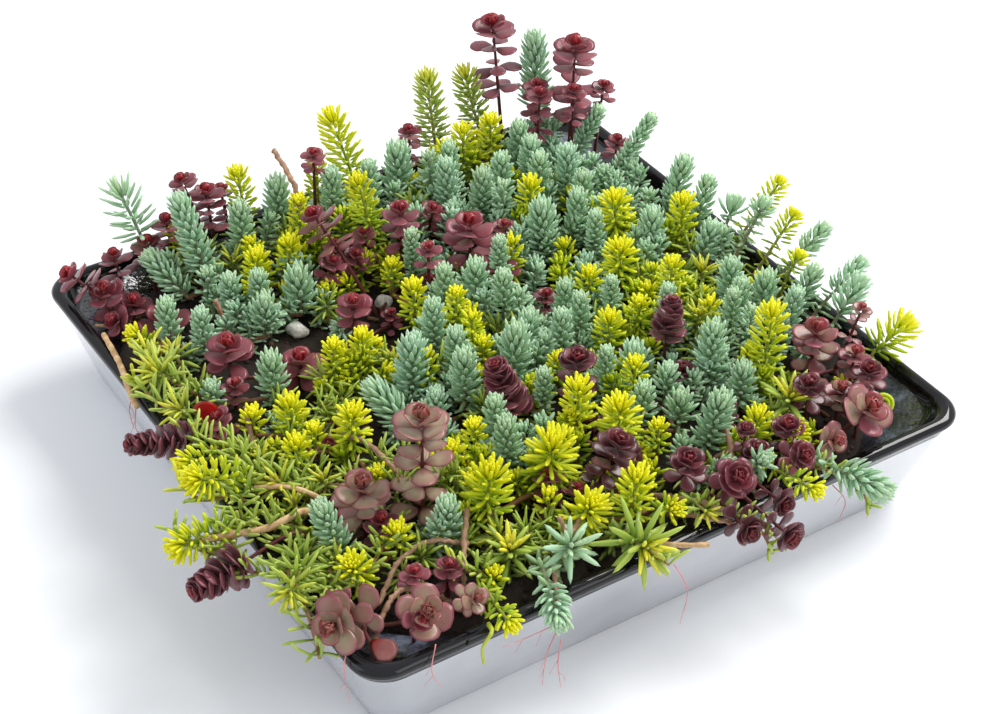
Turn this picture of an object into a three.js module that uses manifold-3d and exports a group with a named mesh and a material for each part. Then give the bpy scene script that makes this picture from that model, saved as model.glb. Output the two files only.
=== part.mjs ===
// A square glazed dish planted with a mixed carpet of stonecrop: red flaming carpet rosettes,
// blue-green, yellow and leggy green shoots. Millimetres, +Z up, origin under the middle of the foot.
import * as THREE from "three";
import { mergeVertices } from "three/addons/utils/BufferGeometryUtils.js";
import Module from "manifold-3d";

const wasm = await Module();
wasm.setup();

// Driving dimensions of the dish
const RIM_HALF = 140;
const RIM_TOP = 46;
const RIM_CORNER = 14;
const LIP_WIDTH = 6;
const LIP_DROP = 5.5;
const FOOT_HALF = 125.5;
const FOOT_CORNER = 10;
const FLOOR_TOP = 7;
const FLOOR_HALF = 118;
const CORNER_STEPS = 4;

// Driving dimensions of the soil and of what roots in it
const SOIL_TOP = 37;
const GAP = 0.3;
const ROOT_DEPTH = 9;
const HOLE_RADIUS = 2.1;
const HOLE_SIDES = 4;
const FOOT_LIMIT = 119;
const STEM_RADIUS = 1.25;
const RUNNER_RADIUS = 1.1;
const RUNNER_REACH = 1.6;
const FOOT_TURN = 0.1;
const LEAST_FORK = 0.45;
const RUNNER_BENDS = [0, 4, -4, 8, -8, 12, -12];
const MOST_CLUMPS = 58;

// Driving proportions of a shoot: rings of 4 leaves, or 5 on a wide one, in 2 to 5 tiers below its tip
const WIDE_SHOOT = 16;
const FEWEST_TIERS = 2;
const MOST_TIERS = 5;
const LEAFED_PART = 0.86;
const TOP_CORE = 0.55;
const TOP_NARROWS = 0.45;
const WIDEST_AT = 0.45;
const TURN_SPREAD = 0.6;
const ROUND_LEAF_WIDTH = 0.95;
const ROUND_LEAF_END = 0.48;
const ROUND_LEAF_RISE = 0.7;
const WIDEST_LEAF = 10;
const LEAF_SEED = 2027;

// Driving dimensions of the rule that keeps the shoots clear of each other and of the lip
const SHOOT_GAP = 0.35;
const SETTLE_ROUNDS = 70;
const SLIM_ROUNDS = 12;
const LONGEST_PUSH = 3;
const INNER_EDGE = 130;
const LIP_CLEAR = 0.7;
const BEND_REACH = 127;
const BEND_HEIGHT = 51;
const OVERHANG_FALL = 1.1;

// The four kinds: how high the creeping stems lie over the soil, how thick the leafy core is for its
// width, how far apart its tiers of leaves are, and the colour
const KINDS = {
  blue: { level: 4.9, core: 0.42, tierGap: 9.7, colour: 0x7fae97, roughness: 0.75 },
  yellow: { level: 7.8, core: 0.3, tierGap: 9, colour: 0xb9bd1c, roughness: 0.5 },
  green: { level: 7.8, core: 0.22, tierGap: 8, colour: 0x7fae3e, roughness: 0.5 },
  red: { level: 2, core: 0.22, tierGap: 8, colour: 0x6d2631, roughness: 0.45 },
};

// Each row is one shoot, read by eye from the photograph:
// tip x, tip y, tip z, width over the leaves, leafy length, and the foot's x and y
const SHOOTS = {
  blue: [
    [99, 123, 104, 18, 40, 101, 119], [75, 97, 80, 13, 24, 76, 98], [74, 82, 80, 14, 24, 75, 83],
    [56, 78, 79, 13, 22, 57, 79], [40, 96, 80, 12, 22, 41, 97], [21, 109, 80, 20, 30, 22, 110],
    [32, 86, 80, 14, 36, 33, 86], [2, 102, 80, 12, 22, 3, 103], [-15, 107, 80, 13, 26, -14, 108],
    [117, 91, 78, 11, 28, 104, 98], [126, 60, 86, 11, 43, 106, 70], [83, 66, 81, 14, 30, 84, 66],
    [70, 68, 80, 13, 20, 70, 69], [42, 72, 79, 14, 27, 43, 73], [52, 40, 78, 20, 41, 53, 40],
    [71, 40, 76, 14, 31, 72, 40], [82, 52, 75, 12, 22, 83, 52], [72, 25, 74, 10, 20, 73, 25],
    [98, 16, 74, 16, 26, 98, 16], [23, 29, 75, 10, 18, 24, 29], [6, 20, 75, 15, 24, 7, 20],
    [11, 8, 75, 12, 22, 12, 8], [-9, 24, 75, 12, 22, -8, 24], [33, -6, 70, 12, 20, 34, -6],
    [51, -14, 70, 9, 18, 51, -14], [65, -36, 74, 10, 18, 65, -35], [-104, 137, 86, 24, 30, -95, 119],
    [-86, 112, 88, 16, 40, -78, 102], [-106, 109, 64, 14, 28, -93, 96],
    [-60, 106, 78, 14, 24, -59, 106], [-41, 115, 80, 16, 28, -40, 115], [-6, 53, 75, 9, 22, -5, 53],
    [-58, 66, 68, 20, 24, -56, 64], [-67, 71, 66, 12, 20, -67, 72], [-79, 78, 64, 12, 24, -78, 79],
    [-74, 58, 64, 16, 24, -74, 58], [125, 33, 79, 15, 26, 117, 33], [124, 15, 75, 13, 26, 117, 15],
    [130, 2, 69, 18, 22, 117, 2], [116, 0, 68, 14, 20, 108, 0], [138, -16, 82, 14, 26, 118, -14],
    [146, -30, 72, 12, 18, 118, -28], [102, -28, 70, 14, 22, 102, -28],
    [115, -49, 68, 16, 22, 112, -49], [128, -51, 70, 14, 22, 117, -50],
    [143, -53, 68, 12, 20, 118, -56], [103, -45, 70, 12, 22, 101, -44],
    [113, -59, 70, 12, 26, 108, -58], [-112, 75, 66, 13, 24, -111, 75],
    [-103, 60, 66, 12, 23, -102, 60], [-88, 21, 66, 16, 24, -88, 21], [-116, 28, 56, 12, 16, -114, 29],
    [-48, -8, 76, 18, 38, -48, -9], [-66, -8, 62, 17, 28, -52, -26], [-22, 6, 75, 13, 30, -22, 6],
    [-23, -12, 72, 13, 22, -23, -12], [-32, -31, 75, 15, 26, -32, -31],
    [-44, -29, 62, 12, 18, -44, -29], [32, -19, 72, 11, 22, 32, -19], [19, -24, 72, 12, 22, 19, -24],
    [9, -15, 70, 14, 16, 9, -15], [-6, -23, 76, 18, 38, -7, -24], [18, -57, 72, 10, 20, 18, -57],
    [35, -53, 66, 17, 16, 35, -53], [24, -73, 68, 13, 20, 24, -73], [37, -71, 66, 13, 16, 37, -71],
    [-33, -57, 72, 12, 20, -33, -57], [-35, -69, 72, 14, 30, -35, -70], [-6, -51, 70, 10, 18, -6, -51],
    [85, -52, 74, 10, 20, 85, -52], [141, -68, 72, 16, 30, 117, -70], [66, -84, 66, 14, 20, 66, -83],
    [62, -76, 80, 16, 34, 62, -72], [40, -103, 76, 17, 34, 38, -96], [36, -84, 64, 16, 16, 36, -84],
    [-124, -71, 72, 15, 34, -115, -75], [-77, -90, 68, 15, 25, -77, -90],
    [-45, -128, 60, 23, 16, -49, -117], [41, -133, 61, 14, 14, 40, -118],
    [30, -130, 58, 12, 16, 31, -118], [74, -160, 54, 17, 24, 56, -118],
    [-70, -156, 44, 14, 20, -56, -119],
  ],
  yellow: [
    [-5, 126, 96, 19, 46, 7, 117], [-48, 123, 82, 14, 24, -47, 119], [-15, 117, 80, 12, 26, -14, 118],
    [55, 106, 80, 15, 24, 55, 107], [70, 107, 80, 14, 22, 70, 108], [58, 58, 77, 15, 18, 59, 58],
    [84, 26, 77, 18, 25, 84, 26], [70, 6, 70, 18, 25, 70, 6], [52, 3, 64, 14, 16, 52, 3],
    [-86, 126, 64, 12, 18, -84, 119], [-36, 97, 78, 12, 26, -35, 97], [-14, 82, 89, 15, 27, -8, 75],
    [-16, 52, 64, 11, 14, -16, 52], [-19, 27, 70, 14, 20, -19, 27], [-13, 8, 74, 11, 20, -13, 8],
    [-62, 84, 67, 15, 20, -62, 84], [-50, 83, 69, 13, 20, -50, 83], [107, 14, 75, 16, 28, 106, 14],
    [140, -6, 83, 12, 18, 118, -5], [141, -23, 77, 12, 16, 118, -22], [134, -40, 68, 12, 16, 118, -38],
    [81, -16, 70, 14, 20, 81, -16], [-127, 70, 58, 12, 14, -118, 70], [-66, 17, 66, 12, 18, -66, 17],
    [-54, 12, 66, 13, 18, -54, 12], [-11, -15, 62, 12, 16, -11, -14], [-98, -10, 66, 16, 20, -98, -10],
    [-96, -23, 60, 11, 14, -96, -23], [-85, -27, 68, 17, 22, -85, -27],
    [-108, -26, 64, 15, 20, -108, -26], [-112, 0, 60, 13, 12, -112, 0],
    [-46, -61, 67, 11, 16, -46, -61], [-56, -63, 64, 14, 16, -56, -63], [-22, -34, 66, 8, 16, -22, -34],
    [55, -30, 68, 12, 14, 55, -30], [38, -31, 68, 16, 24, 38, -31], [26, -63, 70, 13, 16, 27, -63],
    [-2, -67, 76, 16, 28, -2, -67], [5, -84, 74, 19, 22, 5, -84], [16, -94, 64, 11, 14, 17, -94],
    [9, -37, 62, 12, 14, 9, -37], [-29, -84, 74, 24, 24, -29, -84], [84, -78, 84, 18, 40, 81, -79],
    [52, -112, 66, 15, 22, 52, -112], [61, -126, 60, 14, 16, 62, -117],
    [48, -145, 56, 12, 14, 47, -119], [148, -94, 62, 20, 26, 118, -94],
    [109, -124, 54, 9, 10, 108, -117], [-148, -11, 58, 14, 18, -118, -12],
    [-147, -28, 64, 18, 24, -118, -29], [-171, -47, 54, 17, 24, -118, -44],
    [-124, -96, 62, 16, 18, -117, -93], [-97, -86, 60, 14, 20, -97, -86],
    [-85, -53, 56, 12, 14, -84, -53], [-61, -92, 76, 23, 28, -60, -89],
    [-32, -125, 65, 19, 20, -33, -114], [-12, -119, 72, 17, 26, -13, -117],
    [1, -136, 60, 13, 14, 1, -119], [-91, -145, 52, 12, 12, -88, -119],
  ],
  green: [
    [76, 125, 96, 18, 36, 80, 119], [47, 128, 100, 18, 40, 49, 119], [102, -13, 62, 18, 18, 102, -13],
    [-124, 54, 56, 18, 14, -117, 54], [-129, 37, 60, 26, 14, -117, 39],
    [-140, 16, 60, 20, 16, -118, 15], [-46, 1, 58, 12, 14, -46, 1], [73, -42, 66, 16, 24, 73, -42],
    [72, -107, 66, 26, 20, 72, -107], [-62, -116, 60, 22, 16, -62, -115],
    [-26, -150, 57, 28, 20, -27, -119], [8, -143, 54, 13, 14, 9, -119],
    [-132, -33, 60, 20, 14, -118, -35], [-117, -17, 56, 14, 16, -117, -17],
    [-104, -44, 58, 15, 18, -103, -44], [22, -40, 60, 13, 14, 22, -40],
    [-142, -104, 58, 18, 34, -119, -68],
  ],
  red: [
    [79, 128, 116, 22, 38, 84, 119], [112, 106, 109, 23, 34, 109, 104], [90, 99, 91, 14, 20, 89, 99],
    [-137, 121, 62, 16, 34, -115, 101], [-108, 127, 62, 13, 14, -107, 119],
    [-76, 130, 84, 12, 26, -66, 119], [-40, 81, 82, 20, 24, -22, 52], [-4, 68, 80, 17, 18, -4, 66],
    [-4, 42, 74, 12, 14, -4, 42], [-43, 38, 64, 18, 16, -43, 38], [-103, 92, 50, 20, 10, -103, 92],
    [20, 48, 77, 22, 28, 21, 48], [-99, 44, 62, 22, 16, -98, 44], [-127, 5, 58, 13, 10, -118, 5],
    [-24, 40, 48, 9, 8, -24, 40], [-74, 24, 54, 22, 12, -74, 24], [-68, -16, 52, 12, 12, -68, -16],
    [-79, -72, 94, 24, 46, -81, -75], [58, -46, 76, 15, 18, 50, -52], [8, -56, 74, 17, 20, 9, -56],
    [-30, -45, 76, 18, 26, -18, -50], [104, -84, 70, 20, 22, 104, -83],
    [112, -98, 64, 14, 14, 111, -98], [126, -86, 72, 10, 20, 118, -83], [92, -95, 54, 13, 12, 92, -95],
    [95, -110, 60, 15, 16, 95, -109], [94, -132, 66, 24, 20, 88, -117],
    [72, -133, 56, 16, 12, 72, -118], [52, -92, 56, 10, 14, 52, -93], [42, -117, 66, 9, 14, 42, -116],
    [55, -138, 60, 14, 14, 54, -119], [20, -137, 66, 18, 12, 20, -119],
    [12, -120, 66, 16, 12, 12, -116], [38, -150, 54, 13, 10, 36, -119],
    [17, -155, 52, 14, 10, 16, -119], [29, -158, 50, 15, 10, 26, -115], [-155, 5, 60, 15, 26, -119, -5],
    [-172, -68, 48, 17, 22, -119, -62], [-101, -72, 70, 22, 24, -100, -71],
    [-147, -120, 60, 23, 24, -119, -111], [-105, -133, 60, 22, 18, -101, -117],
    [-101, -109, 58, 12, 10, -101, -109], [-91, -112, 58, 13, 12, -91, -111],
    [-92, -140, 60, 12, 12, -96, -119], [-10, -103, 72, 18, 22, -20, -97],
  ],
};

// A small repeatable draw from 0 to 1
function makeDraw(seed) {
  let state = seed;
  return () => {
    state = (state * 16807) % 2147483647;
    return state / 2147483647;
  };
}

// Points are plain arrays of three numbers
const add = (a, b) => [a[0] + b[0], a[1] + b[1], a[2] + b[2]];
const minus = (a, b) => [a[0] - b[0], a[1] - b[1], a[2] - b[2]];
const times = (a, k) => [a[0] * k, a[1] * k, a[2] * k];
const dot = (a, b) => a[0] * b[0] + a[1] * b[1] + a[2] * b[2];
const size = (a) => Math.sqrt(dot(a, a));
const clamp = (value, low, high) => Math.min(high, Math.max(low, value));
const reach = (point) => Math.max(Math.abs(point[0]), Math.abs(point[1]));

// The nearest points of two straight pieces, as the vector between them and where it starts on the first
function nearest(a0, a1, b0, b1) {
  const da = minus(a1, a0);
  const db = minus(b1, b0);
  const r = minus(a0, b0);
  const aa = dot(da, da);
  const bb = dot(db, db);
  const ab = dot(da, db);
  const ar = dot(da, r);
  const br = dot(db, r);
  const det = aa * bb - ab * ab;
  let s = det > 1e-9 ? clamp((ab * br - ar * bb) / det, 0, 1) : 0.5;
  let t = bb > 1e-9 ? (ab * s + br) / bb : 0;
  if (t < 0 || t > 1) {
    t = clamp(t, 0, 1);
    s = aa > 1e-9 ? clamp((ab * t - ar) / aa, 0, 1) : 0;
  }
  const away = minus(add(a0, times(da, s)), add(b0, times(db, t)));
  return { away, apart: size(away), s, t };
}

// The lowest height that a leaf may have over a place: the soil inside, the lip, and a slope outside it
function floorAt(point) {
  const out = reach(point);
  if (out < INNER_EDGE) return SOIL_TOP + LIP_CLEAR;
  if (out < RIM_HALF + 2) return RIM_TOP + LIP_CLEAR;
  return RIM_TOP + LIP_CLEAR - (out - RIM_HALF - 2) * OVERHANG_FALL;
}

// Works out the bend over the lip, the knee where the leaves start, and the solid limits of a shoot
function layOut(shoot) {
  const foot = [shoot.foot[0], shoot.foot[1], SOIL_TOP + KINDS[shoot.kind].level];
  const out = reach(shoot.tip);
  const line = [foot];
  if (out > INNER_EDGE) {
    const inside = reach(foot);
    const part = (BEND_REACH - inside) / (out - inside);
    const over = add(foot, times(minus(shoot.tip, foot), part));
    line.push([over[0], over[1], Math.max(over[2], BEND_HEIGHT)]);
  }
  const start = line[line.length - 1];
  const run = minus(shoot.tip, start);
  const long = size(run);
  const leafy = Math.min(shoot.leafy, long - 1.5);
  shoot.way = times(run, 1 / long);
  shoot.length = leafy;
  shoot.knee = minus(shoot.tip, times(shoot.way, leafy));
  shoot.line = line;
  line.push(shoot.knee);
  shoot.root = { from: [foot[0], foot[1], SOIL_TOP], to: foot, radius: STEM_RADIUS };
  const radius = shoot.width / 2;
  const inset = Math.min(radius * 0.7, leafy * 0.45);
  shoot.limits = [{
    from: add(shoot.knee, times(shoot.way, inset)),
    to: minus(shoot.tip, times(shoot.way, inset)),
    radius,
  }];
  for (let i = 1; i < line.length; i += 1) {
    shoot.limits.push({ from: line[i - 1], to: line[i], radius: STEM_RADIUS + 0.2 });
  }
}

function makeShoots() {
  const shoots = [];
  for (const [kind, rows] of Object.entries(SHOOTS)) {
    for (const [x, y, z, width, leafy, footX, footY] of rows) {
      const sides = kind === "red" || width < WIDE_SHOOT ? 4 : 5;
      const foot = [footX, footY];
      shoots.push({ kind, tip: [x, y, z], width, leafy, foot, sides, panels: [], index: shoots.length });
    }
  }
  shoots.forEach(layOut);
  return shoots;
}

const farApart = (a, b) => {
  const room = (a.width + b.width) / 2 + 2;
  for (let axis = 0; axis < 2; axis += 1) {
    const lowA = Math.min(a.tip[axis], a.foot[axis]);
    const highA = Math.max(a.tip[axis], a.foot[axis]);
    const lowB = Math.min(b.tip[axis], b.foot[axis]);
    const highB = Math.max(b.tip[axis], b.foot[axis]);
    if (lowA > highB + room || lowB > highA + room) return true;
  }
  return false;
};

// The worst of the clashes between two shoots, or nothing
function clash(a, b) {
  let worst = null;
  for (const one of a.limits) {
    for (const other of b.limits) {
      const near = nearest(one.from, one.to, other.from, other.to);
      const short = one.radius + other.radius + SHOOT_GAP - near.apart;
      if (short > 0 && (!worst || short > worst.short)) worst = { near, short, one, other };
    }
  }
  return worst;
}

// Moves a shoot sideways, its tip more than its foot where the clash is high up
function nudge(shoot, x, y, high) {
  const tipShare = 0.5 + 0.5 * high;
  const footShare = 1 - 0.6 * high;
  shoot.tip[0] += x * tipShare;
  shoot.tip[1] += y * tipShare;
  shoot.foot[0] = clamp(shoot.foot[0] + x * footShare, -FOOT_LIMIT, FOOT_LIMIT);
  shoot.foot[1] = clamp(shoot.foot[1] + y * footShare, -FOOT_LIMIT, FOOT_LIMIT);
}

// Lifts a shoot until its leafy core clears the lip and the soil
function lift(shoot) {
  const core = Math.max(STEM_RADIUS, shoot.width * KINDS[shoot.kind].core * 0.5) + LIP_CLEAR;
  let most = 0;
  for (let step = 0; step <= 6; step += 1) {
    const point = add(shoot.knee, times(minus(shoot.tip, shoot.knee), step / 6));
    most = Math.max(most, floorAt(point) + core - point[2]);
  }
  shoot.tip[2] += most;
}

// Neighbouring shoots push each other apart until none of them cross
function settle(shoots) {
  for (let round = 0; round < SETTLE_ROUNDS; round += 1) {
    for (let i = 0; i < shoots.length; i += 1) {
      for (let j = i + 1; j < shoots.length; j += 1) {
        const a = shoots[i];
        const b = shoots[j];
        if (farApart(a, b)) continue;
        const worst = clash(a, b);
        if (!worst) continue;
        let x = worst.near.away[0];
        let y = worst.near.away[1];
        const flat = Math.sqrt(x * x + y * y);
        if (flat < 0.01) {
          x = 1;
          y = 0;
        } else {
          x /= flat;
          y /= flat;
        }
        const push = Math.min(worst.short, LONGEST_PUSH) * 0.5;
        const high = a.limits[0] === worst.one ? 0.5 + 0.5 * worst.near.s : 0.5 * worst.near.s;
        nudge(a, x * push, y * push, high);
        nudge(b, -x * push, -y * push, high);
        layOut(a);
        layOut(b);
      }
    }
    for (const shoot of shoots) {
      lift(shoot);
      layOut(shoot);
    }
  }
}

// What still crosses grows a little narrower
function slim(shoots) {
  for (let round = 0; round < SLIM_ROUNDS; round += 1) {
    for (let i = 0; i < shoots.length; i += 1) {
      for (let j = i + 1; j < shoots.length; j += 1) {
        const a = shoots[i];
        const b = shoots[j];
        if (farApart(a, b)) continue;
        const worst = clash(a, b);
        if (!worst) continue;
        if (a.limits[0] === worst.one) a.width -= worst.short * 0.8;
        if (b.limits[0] === worst.other) b.width -= worst.short * 0.8;
        layOut(a);
        layOut(b);
      }
    }
  }
}

// Ways for a creeping stem from one foot to another: straight, or bent sideways once
function runnerWays(a, b) {
  const from = [a.foot[0], a.foot[1], SOIL_TOP + KINDS[a.kind].level];
  const to = [b.foot[0], b.foot[1], SOIL_TOP + KINDS[b.kind].level];
  const run = minus(to, from);
  const long = size(run);
  const side = long > 0.01 ? [-run[1] / long, run[0] / long, 0] : [1, 0, 0];
  const ways = [];
  for (const bend of RUNNER_BENDS) {
    if (Math.abs(bend) > long * 0.6) continue;
    const middle = add(add(from, times(run, 0.5)), times(side, bend));
    if (reach(middle) > FOOT_LIMIT) continue;
    ways.push(bend === 0 ? [from, to] : [from, middle, to]);
  }
  return ways;
}

// A creeping stem stays clear of the other shoots, of the roots below them and of the other creeping stems
function wayIsClear(way, a, b, shoots, clumpOf, runners) {
  for (let i = 1; i < way.length; i += 1) {
    for (const shoot of shoots) {
      if (shoot === a || shoot === b) continue;
      const rooted = clumpOf[shoot.index] === shoot.index;
      for (const limit of rooted ? [shoot.root, ...shoot.limits] : shoot.limits) {
        const near = nearest(way[i - 1], way[i], limit.from, limit.to);
        if (near.apart < RUNNER_REACH + limit.radius + SHOOT_GAP) return false;
      }
    }
    for (const runner of runners) {
      if (runner.a === a || runner.a === b || runner.b === a || runner.b === b) continue;
      for (let j = 1; j < runner.way.length; j += 1) {
        const near = nearest(way[i - 1], way[i], runner.way[j - 1], runner.way[j]);
        if (near.apart < 2 * RUNNER_REACH + SHOOT_GAP) return false;
      }
    }
  }
  return true;
}

// The side of a shoot's foot that faces a place best
function facingPanel(shoot, place) {
  const x = place[0] - shoot.foot[0];
  const y = place[1] - shoot.foot[1];
  let best = 0;
  let most = -Infinity;
  for (let i = 0; i < shoot.sides; i += 1) {
    const angle = FOOT_TURN + ((i + 0.5) * 2 * Math.PI) / shoot.sides;
    const facing = x * Math.cos(angle) + y * Math.sin(angle);
    if (facing > most) {
      most = facing;
      best = i;
    }
  }
  return best;
}

// A foot takes a creeping stem on a side that is free, and well apart from the stems it has
function footTakes(shoot, place) {
  const x = place[0] - shoot.foot[0];
  const y = place[1] - shoot.foot[1];
  const long = Math.sqrt(x * x + y * y);
  const panel = facingPanel(shoot, place);
  return shoot.panels.every((used) => {
    const between = (used.x * x + used.y * y) / (used.long * long);
    return used.panel !== panel && between < LEAST_FORK;
  });
}

function useFoot(shoot, place) {
  const x = place[0] - shoot.foot[0];
  const y = place[1] - shoot.foot[1];
  const panel = facingPanel(shoot, place);
  shoot.panels.push({ panel, x, y, long: Math.sqrt(x * x + y * y) });
  return panel;
}

// Joins the nearest feet of one kind by creeping stems until few enough clumps are left
function joinClumps(shoots) {
  const pairs = [];
  for (let i = 0; i < shoots.length; i += 1) {
    for (let j = i + 1; j < shoots.length; j += 1) {
      if (shoots[i].kind !== shoots[j].kind) continue;
      const x = shoots[i].foot[0] - shoots[j].foot[0];
      const y = shoots[i].foot[1] - shoots[j].foot[1];
      pairs.push({ a: shoots[i], b: shoots[j], long: Math.sqrt(x * x + y * y) });
    }
  }
  pairs.sort((p, q) => p.long - q.long || p.a.index - q.a.index || p.b.index - q.b.index);
  const clumpOf = shoots.map((shoot) => shoot.index);
  const runners = [];
  let clumps = shoots.length;
  for (const { a, b } of pairs) {
    if (clumps <= MOST_CLUMPS) break;
    const mine = clumpOf[a.index];
    const theirs = clumpOf[b.index];
    if (mine === theirs) continue;
    const way = runnerWays(a, b).find(
      (option) =>
        footTakes(a, option[1]) &&
        footTakes(b, option[option.length - 2]) &&
        wayIsClear(option, a, b, shoots, clumpOf, runners),
    );
    if (!way) continue;
    const panelA = useFoot(a, way[1]);
    const panelB = useFoot(b, way[way.length - 2]);
    runners.push({ a, b, way, panelA, panelB });
    const kept = Math.min(mine, theirs);
    clumpOf.forEach((clump, index) => {
      if (clump === mine || clump === theirs) clumpOf[index] = kept;
    });
    clumps -= 1;
  }
  return { clumpOf, runners };
}

// A closed shell made point by point and face by face
class Shell {
  constructor() {
    this.points = [];
    this.faces = [];
  }

  point(at) {
    this.points.push(at);
    return this.points.length - 1;
  }

  face(...corners) {
    for (let i = 2; i < corners.length; i += 1) this.faces.push([corners[0], corners[i - 1], corners[i]]);
  }

  band(low, high, open = []) {
    const count = low.length;
    for (let i = 0; i < count; i += 1) {
      const next = (i + 1) % count;
      if (!open.includes(i)) this.face(low[i], low[next], high[next], high[i]);
    }
  }

  solid() {
    const vertProperties = new Float32Array(this.points.flat());
    const triVerts = new Uint32Array(this.faces.flat());
    return new wasm.Manifold(new wasm.Mesh({ numProp: 3, vertProperties, triVerts }));
  }
}

// Two directions square to a stem's own, the first as near to +X as it can be
function facing(way) {
  const along = Math.abs(way[0]) < 0.9 ? [1, 0, 0] : [0, 0, -Math.sign(way[0])];
  const flat = minus(along, times(way, dot(along, way)));
  const u = times(flat, 1 / size(flat));
  const v = [way[1] * u[2] - way[2] * u[1], way[2] * u[0] - way[0] * u[2], way[0] * u[1] - way[1] * u[0]];
  return [u, v];
}

function around(centre, [u, v], radius, angle) {
  return add(centre, add(times(u, radius * Math.cos(angle)), times(v, radius * Math.sin(angle))));
}

function ring(shell, centre, frame, radius, count, turn) {
  const out = [];
  for (let i = 0; i < count; i += 1) {
    out.push(shell.point(around(centre, frame, radius, turn + (i * 2 * Math.PI) / count)));
  }
  return out;
}

// A leaf tip is bent up where it would reach the lip or the soil
function clear(point) {
  return [point[0], point[1], Math.max(point[2], floorAt(point))];
}

// The stem from the root or the creeping stem up to the first leaves. The foot's own ring pair has
// a side for each creeping stem, which stays open until the stem is joined to it.
function addStem(shell, shoot, frame, turn, rooted) {
  const level = SOIL_TOP + KINDS[shoot.kind].level;
  const upright = facing([0, 0, 1]);
  const base = (height, radius) =>
    ring(shell, [shoot.foot[0], shoot.foot[1], height], upright, radius, shoot.sides, FOOT_TURN);
  const rings = [];
  if (rooted) rings.push(base(SOIL_TOP - ROOT_DEPTH + GAP, STEM_RADIUS * 0.9));
  const low = base(level - RUNNER_RADIUS, STEM_RADIUS);
  const high = base(level + RUNNER_RADIUS, STEM_RADIUS);
  rings.push(low, high);
  if (shoot.line.length > 2) {
    const bend = shoot.line[1];
    const leg = minus(bend, shoot.line[0]);
    rings.push(ring(shell, bend, facing(times(leg, 1 / size(leg))), STEM_RADIUS, shoot.sides, turn));
  }
  rings.push(ring(shell, shoot.knee, frame, STEM_RADIUS, shoot.sides, turn));
  shell.face(...[...rings[0]].reverse());
  for (let i = 1; i < rings.length; i += 1) {
    const open = rings[i - 1] === low ? shoot.panels.map((used) => used.panel) : [];
    shell.band(rings[i - 1], rings[i], open);
  }
  shoot.base = { low, high };
  return rings[rings.length - 1];
}

// A needle leaf: a slim pyramid that stands on one panel of the core
function needle(shell, low, high, i, tip) {
  const next = (i + 1) % low.length;
  shell.face(low[i], low[next], tip);
  shell.face(low[next], high[next], tip);
  shell.face(high[next], high[i], tip);
  shell.face(high[i], low[i], tip);
}

// A round leaf: narrow where it leaves the stem, widest past its middle, blunt at its end
function roundLeaf(shell, low, high, i, root, out, across, up, long, wide) {
  const next = (i + 1) % low.length;
  const at = (far, side, rise) => {
    const along = add(root, times(out, far * long));
    const aside = add(times(across, side * wide), times(up, rise));
    return shell.point(clear(add(along, aside)));
  };
  const left = at(0.55, -0.5, 0);
  const right = at(0.55, 0.5, 0);
  const endLeft = at(1, -ROUND_LEAF_END / 2, 0);
  const endRight = at(1, ROUND_LEAF_END / 2, 0);
  const over = at(0.6, 0, ROUND_LEAF_RISE);
  const under = at(0.6, 0, -ROUND_LEAF_RISE);
  shell.face(low[i], low[next], under);
  shell.face(low[next], right, under);
  shell.face(right, endRight, under);
  shell.face(endRight, endLeft, under);
  shell.face(endLeft, left, under);
  shell.face(left, low[i], under);
  shell.face(high[next], high[i], over);
  shell.face(high[i], left, over);
  shell.face(left, endLeft, over);
  shell.face(endLeft, endRight, over);
  shell.face(endRight, right, over);
  shell.face(right, high[next], over);
  shell.face(low[i], left, high[i]);
  shell.face(low[next], high[next], right);
}

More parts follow.
